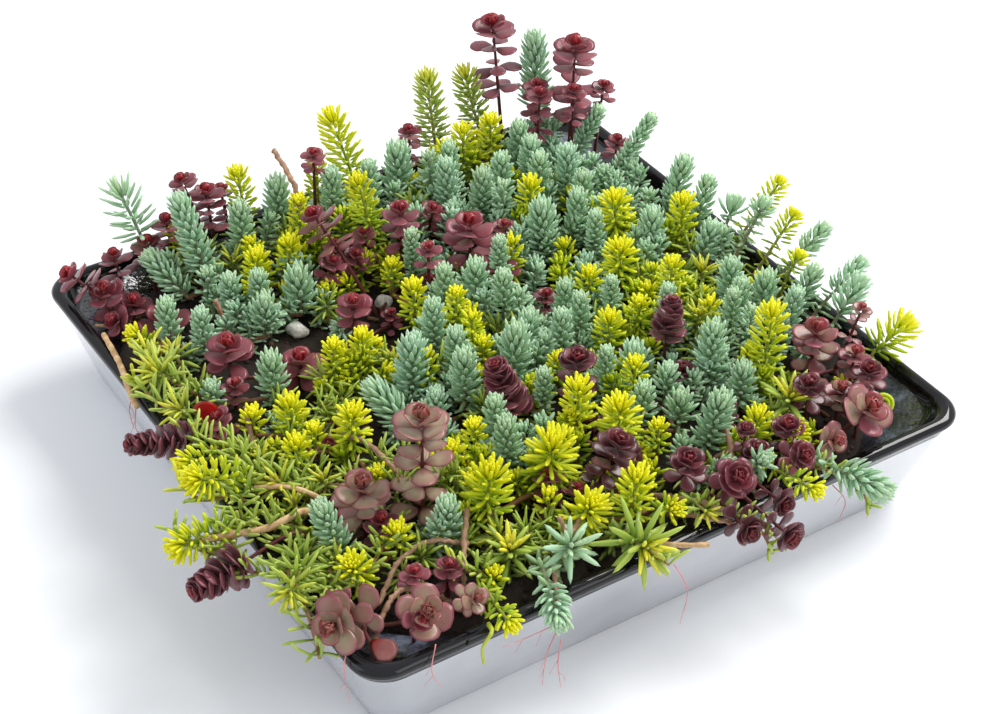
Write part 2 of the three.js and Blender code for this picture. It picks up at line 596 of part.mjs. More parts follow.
function addShoot(shell, shoot, rooted, draw) {
  const kind = KINDS[shoot.kind];
  const red = shoot.kind === "red";
  const frame = facing(shoot.way);
  const radius = shoot.width / 2;
  const count = shoot.sides;
  const tiers = clamp(Math.round(shoot.length / kind.tierGap), FEWEST_TIERS, MOST_TIERS);
  const turn = FOOT_TURN + (draw() - 0.5) * TURN_SPREAD;
  const step = (2 * Math.PI) / count;
  const twist = red ? 0 : step / 2;
  const capped = shoot.length * LEAFED_PART;
  let low = addStem(shell, shoot, frame, turn, rooted);
  for (let tier = 0; tier < tiers; tier += 1) {
    const part = (tier + 1) / tiers;
    const coreSize = tier === tiers - 1 ? TOP_CORE : 1;
    const coreRadius = Math.max(STEM_RADIUS * 0.9, radius * kind.core * coreSize);
    const centre = add(shoot.knee, times(shoot.way, capped * part));
    const high = ring(shell, centre, frame, coreRadius, count, turn + twist * (tier + 1));
    const middle = add(shoot.knee, times(shoot.way, capped * (part - 0.5 / tiers)));
    const full = 1 - (TOP_NARROWS * Math.max(0, part - WIDEST_AT)) / (1 - WIDEST_AT);
    for (let i = 0; i < count; i += 1) {
      const angle = turn + twist * (tier + 0.5) + (i + 0.5) * step;
      const outward = around([0, 0, 0], frame, 1, angle);
      if (!red) {
        const roomAbove = shoot.length * (1 - part) + (capped * 0.5) / tiers + 1.5;
        const rise = Math.min(radius * (0.35 + 0.6 * part), roomAbove);
        const tip = add(add(middle, times(outward, radius * full)), times(shoot.way, rise));
        needle(shell, low, high, i, shell.point(clear(tip)));
      } else if (i % 2 === tier % 2) {
        const slope = 0.25 + 0.75 * part;
        const flat = 1 / Math.sqrt(1 + slope * slope);
        const out = add(times(outward, flat), times(shoot.way, slope * flat));
        const up = minus(times(shoot.way, flat), times(outward, slope * flat));
        const across = around([0, 0, 0], frame, 1, angle + Math.PI / 2);
        const long = (radius * (1.05 - 0.3 * part)) / Math.max(flat, 0.75);
        const wide = Math.min(long * ROUND_LEAF_WIDTH, WIDEST_LEAF);
        roundLeaf(shell, low, high, i, middle, out, across, up, long, wide);
      } else {
        const next = (i + 1) % count;
        shell.face(low[i], low[next], high[next], high[i]);
      }
    }
    low = high;
  }
  const top = shell.point(add(shoot.knee, times(shoot.way, shoot.length)));
  for (let i = 0; i < count; i += 1) shell.face(low[i], low[(i + 1) % count], top);
}

// The four corners of an open side of a foot, in order round it as seen from outside
function openSide(shoot, panel) {
  const next = (panel + 1) % shoot.sides;
  const { low, high } = shoot.base;
  return [low[panel], low[next], high[next], high[panel]];
}

// A creeping stem from the open side of one foot to the open side of another
function addRunner(shell, { a, b, way, panelA, panelB }) {
  const start = openSide(a, panelA);
  const finish = openSide(b, panelB);
  const rings = [start];
  if (way.length > 2) {
    const run = minus(way[2], way[0]);
    const side = [-run[1], run[0], 0];
    const out = times(side, RUNNER_RADIUS / size(side));
    const rise = [0, 0, RUNNER_RADIUS];
    const middle = way[1];
    rings.push([
      shell.point(minus(minus(middle, out), rise)),
      shell.point(minus(add(middle, out), rise)),
      shell.point(add(add(middle, out), rise)),
      shell.point(add(minus(middle, out), rise)),
    ]);
  }
  rings.push([finish[1], finish[0], finish[3], finish[2]]);
  for (let i = 1; i < rings.length; i += 1) shell.band(rings[i - 1], rings[i]);
}

// A level outline with rounded corners, as points round it
function squareRing(shell, half, corner, height) {
  const out = [];
  for (let quarter = 0; quarter < 4; quarter += 1) {
    const start = (quarter * Math.PI) / 2;
    const signX = quarter === 0 || quarter === 3 ? 1 : -1;
    const signY = quarter < 2 ? 1 : -1;
    const centre = [signX * (half - corner), signY * (half - corner)];
    for (let i = 0; i <= CORNER_STEPS; i += 1) {
      const angle = start + (i / CORNER_STEPS) * (Math.PI / 2);
      out.push(shell.point([centre[0] + corner * Math.cos(angle), centre[1] + corner * Math.sin(angle), height]));
    }
  }
  return out;
}

// A stack of level outlines from the outside round to the inside, closed below and above
function stack(levels) {
  const shell = new Shell();
  const rings = levels.map(([half, corner, height]) => squareRing(shell, half, corner, height));
  const bottom = shell.point([0, 0, levels[0][2]]);
  const top = shell.point([0, 0, levels[levels.length - 1][2]]);
  const count = rings[0].length;
  for (let i = 0; i < count; i += 1) shell.face(bottom, rings[0][(i + 1) % count], rings[0][i]);
  for (let i = 1; i < rings.length; i += 1) shell.band(rings[i - 1], rings[i]);
  const last = rings[rings.length - 1];
  for (let i = 0; i < count; i += 1) shell.face(top, last[i], last[(i + 1) % count]);
  return shell;
}

function dishShell() {
  const lipInside = RIM_HALF - LIP_WIDTH;
  return stack([
    [FOOT_HALF, FOOT_CORNER, 0],
    [FOOT_HALF + 1.2, FOOT_CORNER + 0.4, 1.4],
    [RIM_HALF - 1.8, RIM_CORNER - 1, RIM_TOP - LIP_DROP],
    [RIM_HALF, RIM_CORNER, RIM_TOP - LIP_DROP + 1.2],
    [RIM_HALF, RIM_CORNER, RIM_TOP - 1.6],
    [RIM_HALF - 1.6, RIM_CORNER - 1, RIM_TOP],
    [lipInside + 1.6, RIM_CORNER - 3, RIM_TOP],
    [lipInside, RIM_CORNER - 4, RIM_TOP - 1.6],
    [lipInside - 0.6, RIM_CORNER - 4, RIM_TOP - LIP_DROP],
    [lipInside - 2.6, RIM_CORNER - 5, RIM_TOP - LIP_DROP - 1],
    [FLOOR_HALF, RIM_CORNER - 6, FLOOR_TOP],
  ]);
}

// Half the inner width of the dish at a height below its step
function innerHalf(height) {
  const topHalf = RIM_HALF - LIP_WIDTH - 2.6;
  const topHeight = RIM_TOP - LIP_DROP - 1;
  return FLOOR_HALF + ((topHalf - FLOOR_HALF) * (height - FLOOR_TOP)) / (topHeight - FLOOR_TOP);
}

function soilSolid(roots) {
  const bottom = FLOOR_TOP + GAP;
  const inset = GAP * 1.3;
  let soil = stack([
    [innerHalf(bottom) - inset, RIM_CORNER - 6, bottom],
    [innerHalf(SOIL_TOP) - inset, RIM_CORNER - 5, SOIL_TOP],
  ]).solid();
  const upright = facing([0, 0, 1]);
  for (const foot of roots) {
    const hole = new Shell();
    const low = ring(hole, [foot[0], foot[1], SOIL_TOP - ROOT_DEPTH], upright, HOLE_RADIUS, HOLE_SIDES, 0);
    const high = ring(hole, [foot[0], foot[1], SOIL_TOP + 1], upright, HOLE_RADIUS, HOLE_SIDES, 0);
    hole.face(...[...low].reverse());
    hole.band(low, high);
    hole.face(...high);
    soil = soil.subtract(hole.solid());
  }
  return soil;
}

function solidMesh(name, solid, colour, roughness) {
  const data = solid.getMesh();
  const geometry = new THREE.BufferGeometry();
  const positions = new Float32Array(data.numProp === 3 ? data.vertProperties : []);
  geometry.setAttribute("position", new THREE.BufferAttribute(positions, 3));
  geometry.setIndex(new THREE.BufferAttribute(new Uint32Array(data.triVerts), 1));
  const merged = mergeVertices(geometry, 1e-5);
  merged.computeVertexNormals();
  const finish = new THREE.MeshStandardMaterial({ color: colour, roughness, metalness: 0 });
  const mesh = new THREE.Mesh(merged, finish);
  mesh.name = name;
  return mesh;
}

function build() {
  const group = new THREE.Group();
  const shoots = makeShoots();
  settle(shoots);
  slim(shoots);
  const { clumpOf, runners } = joinClumps(shoots);
  const draw = makeDraw(LEAF_SEED);
  const clumps = new Map();
  const roots = [];
  for (const shoot of shoots) {
    const clump = clumpOf[shoot.index];
    const first = !clumps.has(clump);
    if (first) {
      clumps.set(clump, { kind: shoot.kind, shell: new Shell() });
      roots.push(shoot.foot);
    }
    addShoot(clumps.get(clump).shell, shoot, first, draw);
  }
  for (const runner of runners) addRunner(clumps.get(clumpOf[runner.a.index]).shell, runner);
  group.add(solidMesh("dish", dishShell().solid(), 0x0b0c0e, 0.12));
  group.add(solidMesh("soil", soilSolid(roots), 0x2a1f18, 0.95));
  const tally = {};
  for (const { kind, shell } of clumps.values()) {
    tally[kind] = (tally[kind] ?? 0) + 1;
    const name = `${kind}_stonecrop_${String(tally[kind]).padStart(2, "0")}`;
    group.add(solidMesh(name, shell.solid(), KINDS[kind].colour, KINDS[kind].roughness));
  }
  return group;
}

export default build();
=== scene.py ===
"""A square black glazed dish planted with a mixed carpet of stonecrop: red flaming carpet
rosettes, and blue-green, yellow and leggy green shoots that spill over the lip."""

import math
import random

import bpy
import numpy as np
from mathutils import Matrix, Vector, noise


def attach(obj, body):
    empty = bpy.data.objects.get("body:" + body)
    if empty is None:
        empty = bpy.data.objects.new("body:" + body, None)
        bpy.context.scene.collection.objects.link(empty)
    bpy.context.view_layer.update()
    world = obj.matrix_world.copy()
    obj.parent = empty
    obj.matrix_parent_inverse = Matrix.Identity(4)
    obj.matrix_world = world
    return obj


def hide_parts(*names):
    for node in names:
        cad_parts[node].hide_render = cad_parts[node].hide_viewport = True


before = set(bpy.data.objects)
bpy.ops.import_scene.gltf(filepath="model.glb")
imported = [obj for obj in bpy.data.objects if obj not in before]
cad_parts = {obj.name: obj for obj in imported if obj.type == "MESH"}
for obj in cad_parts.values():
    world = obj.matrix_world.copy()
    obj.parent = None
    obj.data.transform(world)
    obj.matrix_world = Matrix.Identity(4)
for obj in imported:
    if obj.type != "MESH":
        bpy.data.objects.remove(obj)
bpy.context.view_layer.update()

MM = 0.001
GOLDEN_ANGLE = math.pi * (3 - math.sqrt(5))

# The dish and the soil, in millimetres
RIM_HALF = 140
RIM_TOP = 46
LIP_WIDTH = 6
LIP_DROP = 5.5
FOOT_HALF = 125.5
FLOOR_TOP = 7
FLOOR_HALF = 118
SOIL_TOP = 37
SOIL_BOTTOM = 7.3

# The placement rule of the shoots, in millimetres
ROOT_DEPTH = 9
FOOT_LIMIT = 119
STEM_RADIUS = 1.25
RUNNER_REACH = 1.6
FOOT_TURN = 0.1
LEAST_FORK = 0.45
RUNNER_BENDS = (0, 4, -4, 8, -8, 12, -12)
MOST_CLUMPS = 58
WIDE_SHOOT = 16
SHOOT_GAP = 0.35
SETTLE_ROUNDS = 70
SLIM_ROUNDS = 12
LONGEST_PUSH = 3
INNER_EDGE = 130
LIP_CLEAR = 0.7
BEND_REACH = 127
BEND_HEIGHT = 51
OVERHANG_FALL = 1.1
# Bare stem that is always left below the leaves, and the room kept round a stem
SHORTEST_STEM = 1.5
STEM_ROOM = 0.2
# How far a head's room is round at its ends, for its radius and at most for its length
END_ROUND, MOST_ROUND = 0.7, 0.45
# Shoots and creeping stems farther apart than this aren't tried against each other
SHOOT_MARGIN, WAY_MARGIN = 2, 4
# The share of a clash that crossing heads get slimmer by
SLIM_SHARE = 0.8
# How much of a push the tip takes at least, and how much of it the foot is spared
TIP_LEAST, FOOT_SPARED = 0.5, 0.6
# The widest bend of a creeping stem, for its length
WIDEST_BEND = 0.6
LIFT_STEPS = 6

# How high each kind's creeping stems lie over the soil, and how thick its leafy core is
# for its width
LEVEL = {"blue": 4.9, "yellow": 7.8, "green": 7.8, "red": 2}
CORE = {"blue": 0.42, "yellow": 0.3, "green": 0.22, "red": 0.22}

# Each row is one shoot, read from the photograph:
# tip x, tip y, tip z, width over the leaves, leafy length, and the foot's x and y
SHOOTS = {
    "blue": [
        [99, 123, 104, 18, 40, 101, 119], [75, 97, 80, 13, 24, 76, 98],
        [74, 82, 80, 14, 24, 75, 83], [56, 78, 79, 13, 22, 57, 79], [40, 96, 80, 12, 22, 41, 97],
        [21, 109, 80, 20, 30, 22, 110], [32, 86, 80, 14, 36, 33, 86],
        [2, 102, 80, 12, 22, 3, 103], [-15, 107, 80, 13, 26, -14, 108],
        [117, 91, 78, 11, 28, 104, 98], [126, 60, 86, 11, 43, 106, 70],
        [83, 66, 81, 14, 30, 84, 66], [70, 68, 80, 13, 20, 70, 69], [42, 72, 79, 14, 27, 43, 73],
        [52, 40, 78, 20, 41, 53, 40], [71, 40, 76, 14, 31, 72, 40], [82, 52, 75, 12, 22, 83, 52],
        [72, 25, 74, 10, 20, 73, 25], [98, 16, 74, 16, 26, 98, 16], [23, 29, 75, 10, 18, 24, 29],
        [6, 20, 75, 15, 24, 7, 20], [11, 8, 75, 12, 22, 12, 8], [-9, 24, 75, 12, 22, -8, 24],
        [33, -6, 70, 12, 20, 34, -6], [51, -14, 70, 9, 18, 51, -14],
        [65, -36, 74, 10, 18, 65, -35], [-104, 137, 86, 24, 30, -95, 119],
        [-86, 112, 88, 16, 40, -78, 102], [-106, 109, 64, 14, 28, -93, 96],
        [-60, 106, 78, 14, 24, -59, 106], [-41, 115, 80, 16, 28, -40, 115],
        [-6, 53, 75, 9, 22, -5, 53], [-58, 66, 68, 20, 24, -56, 64],
        [-67, 71, 66, 12, 20, -67, 72], [-79, 78, 64, 12, 24, -78, 79],
        [-74, 58, 64, 16, 24, -74, 58], [125, 33, 79, 15, 26, 117, 33],
        [124, 15, 75, 13, 26, 117, 15], [130, 2, 69, 18, 22, 117, 2],
        [116, 0, 68, 14, 20, 108, 0], [138, -16, 82, 14, 26, 118, -14],
        [146, -30, 72, 12, 18, 118, -28], [102, -28, 70, 14, 22, 102, -28],
        [115, -49, 68, 16, 22, 112, -49], [128, -51, 70, 14, 22, 117, -50],
        [143, -53, 68, 12, 20, 118, -56], [103, -45, 70, 12, 22, 101, -44],
        [113, -59, 70, 12, 26, 108, -58], [-112, 75, 66, 13, 24, -111, 75],
        [-103, 60, 66, 12, 23, -102, 60], [-88, 21, 66, 16, 24, -88, 21],
        [-116, 28, 56, 12, 16, -114, 29], [-48, -8, 76, 18, 38, -48, -9],
        [-66, -8, 62, 17, 28, -52, -26], [-22, 6, 75, 13, 30, -22, 6],
        [-23, -12, 72, 13, 22, -23, -12], [-32, -31, 75, 15, 26, -32, -31],
        [-44, -29, 62, 12, 18, -44, -29], [32, -19, 72, 11, 22, 32, -19],
        [19, -24, 72, 12, 22, 19, -24], [9, -15, 70, 14, 16, 9, -15],
        [-6, -23, 76, 18, 38, -7, -24], [18, -57, 72, 10, 20, 18, -57],
        [35, -53, 66, 17, 16, 35, -53], [24, -73, 68, 13, 20, 24, -73],
        [37, -71, 66, 13, 16, 37, -71], [-33, -57, 72, 12, 20, -33, -57],
        [-35, -69, 72, 14, 30, -35, -70], [-6, -51, 70, 10, 18, -6, -51],
        [85, -52, 74, 10, 20, 85, -52], [141, -68, 72, 16, 30, 117, -70],
        [66, -84, 66, 14, 20, 66, -83], [62, -76, 80, 16, 34, 62, -72],
        [40, -103, 76, 17, 34, 38, -96], [36, -84, 64, 16, 16, 36, -84],
        [-124, -71, 72, 15, 34, -115, -75], [-77, -90, 68, 15, 25, -77, -90],
        [-45, -128, 60, 23, 16, -49, -117], [41, -133, 61, 14, 14, 40, -118],
        [30, -130, 58, 12, 16, 31, -118], [74, -160, 54, 17, 24, 56, -118],
        [-70, -156, 44, 14, 20, -56, -119],
    ],
    "yellow": [
        [-5, 126, 96, 19, 46, 7, 117], [-48, 123, 82, 14, 24, -47, 119],
        [-15, 117, 80, 12, 26, -14, 118], [55, 106, 80, 15, 24, 55, 107],
        [70, 107, 80, 14, 22, 70, 108], [58, 58, 77, 15, 18, 59, 58],
        [84, 26, 77, 18, 25, 84, 26], [70, 6, 70, 18, 25, 70, 6], [52, 3, 64, 14, 16, 52, 3],
        [-86, 126, 64, 12, 18, -84, 119], [-36, 97, 78, 12, 26, -35, 97],
        [-14, 82, 89, 15, 27, -8, 75], [-16, 52, 64, 11, 14, -16, 52],
        [-19, 27, 70, 14, 20, -19, 27], [-13, 8, 74, 11, 20, -13, 8],
        [-62, 84, 67, 15, 20, -62, 84], [-50, 83, 69, 13, 20, -50, 83],
        [107, 14, 75, 16, 28, 106, 14], [140, -6, 83, 12, 18, 118, -5],
        [141, -23, 77, 12, 16, 118, -22], [134, -40, 68, 12, 16, 118, -38],
        [81, -16, 70, 14, 20, 81, -16], [-127, 70, 58, 12, 14, -118, 70],
        [-66, 17, 66, 12, 18, -66, 17], [-54, 12, 66, 13, 18, -54, 12],
        [-11, -15, 62, 12, 16, -11, -14], [-98, -10, 66, 16, 20, -98, -10],
        [-96, -23, 60, 11, 14, -96, -23], [-85, -27, 68, 17, 22, -85, -27],
        [-108, -26, 64, 15, 20, -108, -26], [-112, 0, 60, 13, 12, -112, 0],
        [-46, -61, 67, 11, 16, -46, -61], [-56, -63, 64, 14, 16, -56, -63],
        [-22, -34, 66, 8, 16, -22, -34], [55, -30, 68, 12, 14, 55, -30],
        [38, -31, 68, 16, 24, 38, -31], [26, -63, 70, 13, 16, 27, -63],
        [-2, -67, 76, 16, 28, -2, -67], [5, -84, 74, 19, 22, 5, -84],
        [16, -94, 64, 11, 14, 17, -94], [9, -37, 62, 12, 14, 9, -37],
        [-29, -84, 74, 24, 24, -29, -84], [84, -78, 84, 18, 40, 81, -79],
        [52, -112, 66, 15, 22, 52, -112], [61, -126, 60, 14, 16, 62, -117],
        [48, -145, 56, 12, 14, 47, -119], [148, -94, 62, 20, 26, 118, -94],
        [109, -124, 54, 9, 10, 108, -117], [-148, -11, 58, 14, 18, -118, -12],
        [-147, -28, 64, 18, 24, -118, -29], [-171, -47, 54, 17, 24, -118, -44],
        [-124, -96, 62, 16, 18, -117, -93], [-97, -86, 60, 14, 20, -97, -86],
        [-85, -53, 56, 12, 14, -84, -53], [-61, -92, 76, 23, 28, -60, -89],
        [-32, -125, 65, 19, 20, -33, -114], [-12, -119, 72, 17, 26, -13, -117],
        [1, -136, 60, 13, 14, 1, -119], [-91, -145, 52, 12, 12, -88, -119],
    ],
    "green": [
        [76, 125, 96, 18, 36, 80, 119], [47, 128, 100, 18, 40, 49, 119],
        [102, -13, 62, 18, 18, 102, -13], [-124, 54, 56, 18, 14, -117, 54],
        [-129, 37, 60, 26, 14, -117, 39], [-140, 16, 60, 20, 16, -118, 15],
        [-46, 1, 58, 12, 14, -46, 1], [73, -42, 66, 16, 24, 73, -42],
        [72, -107, 66, 26, 20, 72, -107], [-62, -116, 60, 22, 16, -62, -115],
        [-26, -150, 57, 28, 20, -27, -119], [8, -143, 54, 13, 14, 9, -119],
        [-132, -33, 60, 20, 14, -118, -35], [-117, -17, 56, 14, 16, -117, -17],
        [-104, -44, 58, 15, 18, -103, -44], [22, -40, 60, 13, 14, 22, -40],
        [-142, -104, 58, 18, 34, -119, -68],
    ],
    "red": [
        [79, 128, 116, 22, 38, 84, 119], [112, 106, 109, 23, 34, 109, 104],
        [90, 99, 91, 14, 20, 89, 99], [-137, 121, 62, 16, 34, -115, 101],
        [-108, 127, 62, 13, 14, -107, 119], [-76, 130, 84, 12, 26, -66, 119],
        [-40, 81, 82, 20, 24, -22, 52], [-4, 68, 80, 17, 18, -4, 66],
        [-4, 42, 74, 12, 14, -4, 42], [-43, 38, 64, 18, 16, -43, 38],
        [-103, 92, 50, 20, 10, -103, 92], [20, 48, 77, 22, 28, 21, 48],
        [-99, 44, 62, 22, 16, -98, 44], [-127, 5, 58, 13, 10, -118, 5],
        [-24, 40, 48, 9, 8, -24, 40], [-74, 24, 54, 22, 12, -74, 24],
        [-68, -16, 52, 12, 12, -68, -16], [-79, -72, 94, 24, 46, -81, -75],
        [58, -46, 76, 15, 18, 50, -52], [8, -56, 74, 17, 20, 9, -56],
        [-30, -45, 76, 18, 26, -18, -50], [104, -84, 70, 20, 22, 104, -83],
        [112, -98, 64, 14, 14, 111, -98], [126, -86, 72, 10, 20, 118, -83],
        [92, -95, 54, 13, 12, 92, -95], [95, -110, 60, 15, 16, 95, -109],
        [94, -132, 66, 24, 20, 88, -117], [72, -133, 56, 16, 12, 72, -118],
        [52, -92, 56, 10, 14, 52, -93], [42, -117, 66, 9, 14, 42, -116],
        [55, -138, 60, 14, 14, 54, -119], [20, -137, 66, 18, 12, 20, -119],
        [12, -120, 66, 16, 12, 12, -116], [38, -150, 54, 13, 10, 36, -119],
        [17, -155, 52, 14, 10, 16, -119], [29, -158, 50, 15, 10, 26, -115],
        [-155, 5, 60, 15, 26, -119, -5], [-172, -68, 48, 17, 22, -119, -62],
        [-101, -72, 70, 22, 24, -100, -71], [-147, -120, 60, 23, 24, -119, -111],
        [-105, -133, 60, 22, 18, -101, -117], [-101, -109, 58, 12, 10, -101, -109],
        [-91, -112, 58, 13, 12, -91, -111], [-92, -140, 60, 12, 12, -96, -119],
        [-10, -103, 72, 18, 22, -20, -97],
    ],
}


# ---- where every shoot stands ----


def add(a, b):
    return [a[0] + b[0], a[1] + b[1], a[2] + b[2]]


def minus(a, b):
    return [a[0] - b[0], a[1] - b[1], a[2] - b[2]]


def times(a, k):
    return [a[0] * k, a[1] * k, a[2] * k]


def dot(a, b):
    return a[0] * b[0] + a[1] * b[1] + a[2] * b[2]


def size(a):
    return math.sqrt(dot(a, a))


def clamp(value, low, high):
    return min(high, max(low, value))


def reach(point):
    """How far out of the middle of the square dish a point lies."""
    return max(abs(point[0]), abs(point[1]))


class Shoot:
    """One shoot: where it stands, its bend, its leafy part, and the room that it takes."""

    def __init__(self, kind, row, index):
        self.kind = kind
        self.tip = [float(v) for v in row[:3]]
        self.width = float(row[3])
        self.leafy = float(row[4])
        self.foot = [float(v) for v in row[5:7]]
        self.sides = 4 if kind == "red" or self.width < WIDE_SHOOT else 5
        self.panels = []
        # Set later: whether the clump's root is under it, and how it grows between others
        self.rooted, self.sprig, self.youth = False, False, 1
        self.index = index
        self.read_from = (kind, row[0], row[1])
        self.lay_out()

    def base(self):
        """Where the stem starts, at the level of the creeping stems."""
        return [self.foot[0], self.foot[1], SOIL_TOP + LEVEL[self.kind]]

    def lay_out(self):
        """Works out the bend over the lip, the knee below the leaves, and the room taken."""
        foot = self.base()
        out = reach(self.tip)
        line = [foot]
        if out > INNER_EDGE:
            inside = reach(foot)
            part = (BEND_REACH - inside) / (out - inside)
            over = add(foot, times(minus(self.tip, foot), part))
            line.append([over[0], over[1], max(over[2], BEND_HEIGHT)])
        run = minus(self.tip, line[-1])
        long = size(run)
        leafy = min(self.leafy, long - SHORTEST_STEM)
        self.way = times(run, 1 / long)
        self.length = leafy
        self.knee = minus(self.tip, times(self.way, leafy))
        self.line = line
        line.append(self.knee)
        self.root = ([foot[0], foot[1], SOIL_TOP], foot, STEM_RADIUS)
        radius = self.width / 2
        inset = min(radius * END_ROUND, leafy * MOST_ROUND)
        inside_knee = add(self.knee, times(self.way, inset))
        inside_tip = minus(self.tip, times(self.way, inset))
        self.limits = [(inside_knee, inside_tip, radius)]
        for i in range(1, len(line)):
            self.limits.append((line[i - 1], line[i], STEM_RADIUS + STEM_ROOM))


def nearest(a0, a1, b0, b1):
    """Between two straight pieces, the shortest vector, its length, and where it starts."""
    da = minus(a1, a0)
    db = minus(b1, b0)
    r = minus(a0, b0)
    aa = dot(da, da)
    bb = dot(db, db)
    ab = dot(da, db)
    ar = dot(da, r)
    br = dot(db, r)
    det = aa * bb - ab * ab
    s = clamp((ab * br - ar * bb) / det, 0, 1) if det > 1e-9 else 0.5
    t = (ab * s + br) / bb if bb > 1e-9 else 0
    if t < 0 or t > 1:
        t = clamp(t, 0, 1)
        s = clamp((ab * t - ar) / aa, 0, 1) if aa > 1e-9 else 0
    away = minus(add(a0, times(da, s)), add(b0, times(db, t)))
    return away, size(away), s


def floor_at(point):
    """The level that a shoot must clear: the soil, the lip, or the slope beyond it."""
    out = reach(point)
    if out < INNER_EDGE:
        return SOIL_TOP + LIP_CLEAR
    if out < RIM_HALF + 2:
        return RIM_TOP + LIP_CLEAR
    return RIM_TOP + LIP_CLEAR - (out - RIM_HALF - 2) * OVERHANG_FALL


def far_apart(a, b, room):
    """Whether two runs, each given by its ends, have more than this room between them."""
    for axis in (0, 1):
        if min(a[0][axis], a[1][axis]) > max(b[0][axis], b[1][axis]) + room:
            return True
        if min(b[0][axis], b[1][axis]) > max(a[0][axis], a[1][axis]) + room:
            return True
    return False


def clash(a, b):
    """The worst of the clashes between two shoots, or nothing."""
    worst = None
    for one in a.limits:
        for other in b.limits:
            away, apart, s = nearest(one[0], one[1], other[0], other[1])
            short = one[2] + other[2] + SHOOT_GAP - apart
            if short > 0 and (worst is None or short > worst[0]):
                worst = (short, away, s, one, other)
    return worst


def nudge(shoot, x, y, high):
    """Moves a shoot sideways, its tip more the higher it was touched and its foot less."""
    tip_share = TIP_LEAST + (1 - TIP_LEAST) * high
    foot_share = 1 - FOOT_SPARED * high
    shoot.tip[0] += x * tip_share
    shoot.tip[1] += y * tip_share
    shoot.foot[0] = clamp(shoot.foot[0] + x * foot_share, -FOOT_LIMIT, FOOT_LIMIT)
    shoot.foot[1] = clamp(shoot.foot[1] + y * foot_share, -FOOT_LIMIT, FOOT_LIMIT)


def lift(shoot):
    """Raises a tip until its leafy core clears what is under it."""
    core = max(STEM_RADIUS, shoot.width * CORE[shoot.kind] * 0.5) + LIP_CLEAR
    most = 0
    for step in range(LIFT_STEPS + 1):
        point = add(shoot.knee, times(minus(shoot.tip, shoot.knee), step / LIFT_STEPS))
        most = max(most, floor_at(point) + core - point[2])
    shoot.tip[2] += most


def crossing_pairs(shoots):
    """Every two shoots that cross, one pair after the other."""
    for i, a in enumerate(shoots):
        for b in shoots[i + 1:]:
            room = (a.width + b.width) / 2 + SHOOT_MARGIN
            if far_apart((a.tip, a.foot), (b.tip, b.foot), room):
                continue
            worst = clash(a, b)
            if worst:
                yield a, b, worst


def settle(shoots):
    """Neighbouring shoots push each other apart until none of them cross."""
    for _ in range(SETTLE_ROUNDS):
        for a, b, (short, away, s, one, other) in crossing_pairs(shoots):
            x, y = away[0], away[1]
            flat = math.sqrt(x * x + y * y)
            if flat < 0.01:
                x, y = 1, 0
            else:
                x /= flat
                y /= flat
            push = min(short, LONGEST_PUSH) * 0.5
            high = 0.5 + 0.5 * s if a.limits[0] is one else 0.5 * s
            nudge(a, x * push, y * push, high)
            nudge(b, -x * push, -y * push, high)
            a.lay_out()
            b.lay_out()
        for shoot in shoots:
            lift(shoot)
            shoot.lay_out()
    for _ in range(SLIM_ROUNDS):
        for a, b, (short, away, s, one, other) in crossing_pairs(shoots):
            if a.limits[0] is one:
                a.width -= short * SLIM_SHARE
            if b.limits[0] is other:
                b.width -= short * SLIM_SHARE
            a.lay_out()
            b.lay_out()


def runner_ways(a, b):
    """Ways for a creeping stem from one foot to another: straight, or bent sideways once."""
    start, end = a.base(), b.base()
    run = minus(end, start)
    long = size(run)
    side = [-run[1] / long, run[0] / long, 0] if long > 0.01 else [1, 0, 0]
    for bend in RUNNER_BENDS:
        if abs(bend) > long * WIDEST_BEND:
            continue
        middle = add(add(start, times(run, 0.5)), times(side, bend))
        if reach(middle) > FOOT_LIMIT:
            continue
        yield [start, end] if bend == 0 else [start, middle, end]


def way_is_clear(way, a, b, shoots, clump_of, runners):
    """Whether a creeping stem can lie here without a touch."""
    for i in range(1, len(way)):
        for shoot in shoots:
            if shoot is a or shoot is b:
                continue
            room = shoot.width / 2 + WAY_MARGIN
            if far_apart((shoot.tip, shoot.foot), way[i - 1:i + 1], room):
                continue
            limits = [shoot.root] if clump_of[shoot.index] == shoot.index else []
            for low, high, radius in limits + shoot.limits:
                if nearest(way[i - 1], way[i], low, high)[1] < RUNNER_REACH + radius + SHOOT_GAP:
                    return False
        for other_a, other_b, other_way in runners:
            if other_a is a or other_a is b or other_b is a or other_b is b:
                continue
            for j in range(1, len(other_way)):
                near = nearest(way[i - 1], way[i], other_way[j - 1], other_way[j])
                if near[1] < 2 * RUNNER_REACH + SHOOT_GAP:
                    return False
    return True


def facing_panel(shoot, x, y):
    """Which side of a many-sided foot looks that way."""
    best, most = 0, -math.inf
    for i in range(shoot.sides):
        angle = FOOT_TURN + ((i + 0.5) * 2 * math.pi) / shoot.sides
        facing = x * math.cos(angle) + y * math.sin(angle)
        if facing > most:
            best, most = i, facing
    return best


def way_from(shoot, place):
    """The side of a foot that looks towards a place, the way there, and how long it is."""
    x = place[0] - shoot.foot[0]
    y = place[1] - shoot.foot[1]
    return facing_panel(shoot, x, y), x, y, math.sqrt(x * x + y * y)


def foot_takes(shoot, place):
    """Whether one more creeping stem can leave this foot towards a place."""
    panel, x, y, long = way_from(shoot, place)
    return all(
        used[0] != panel and (used[1] * x + used[2] * y) / (used[3] * long) < LEAST_FORK
        for used in shoot.panels
    )


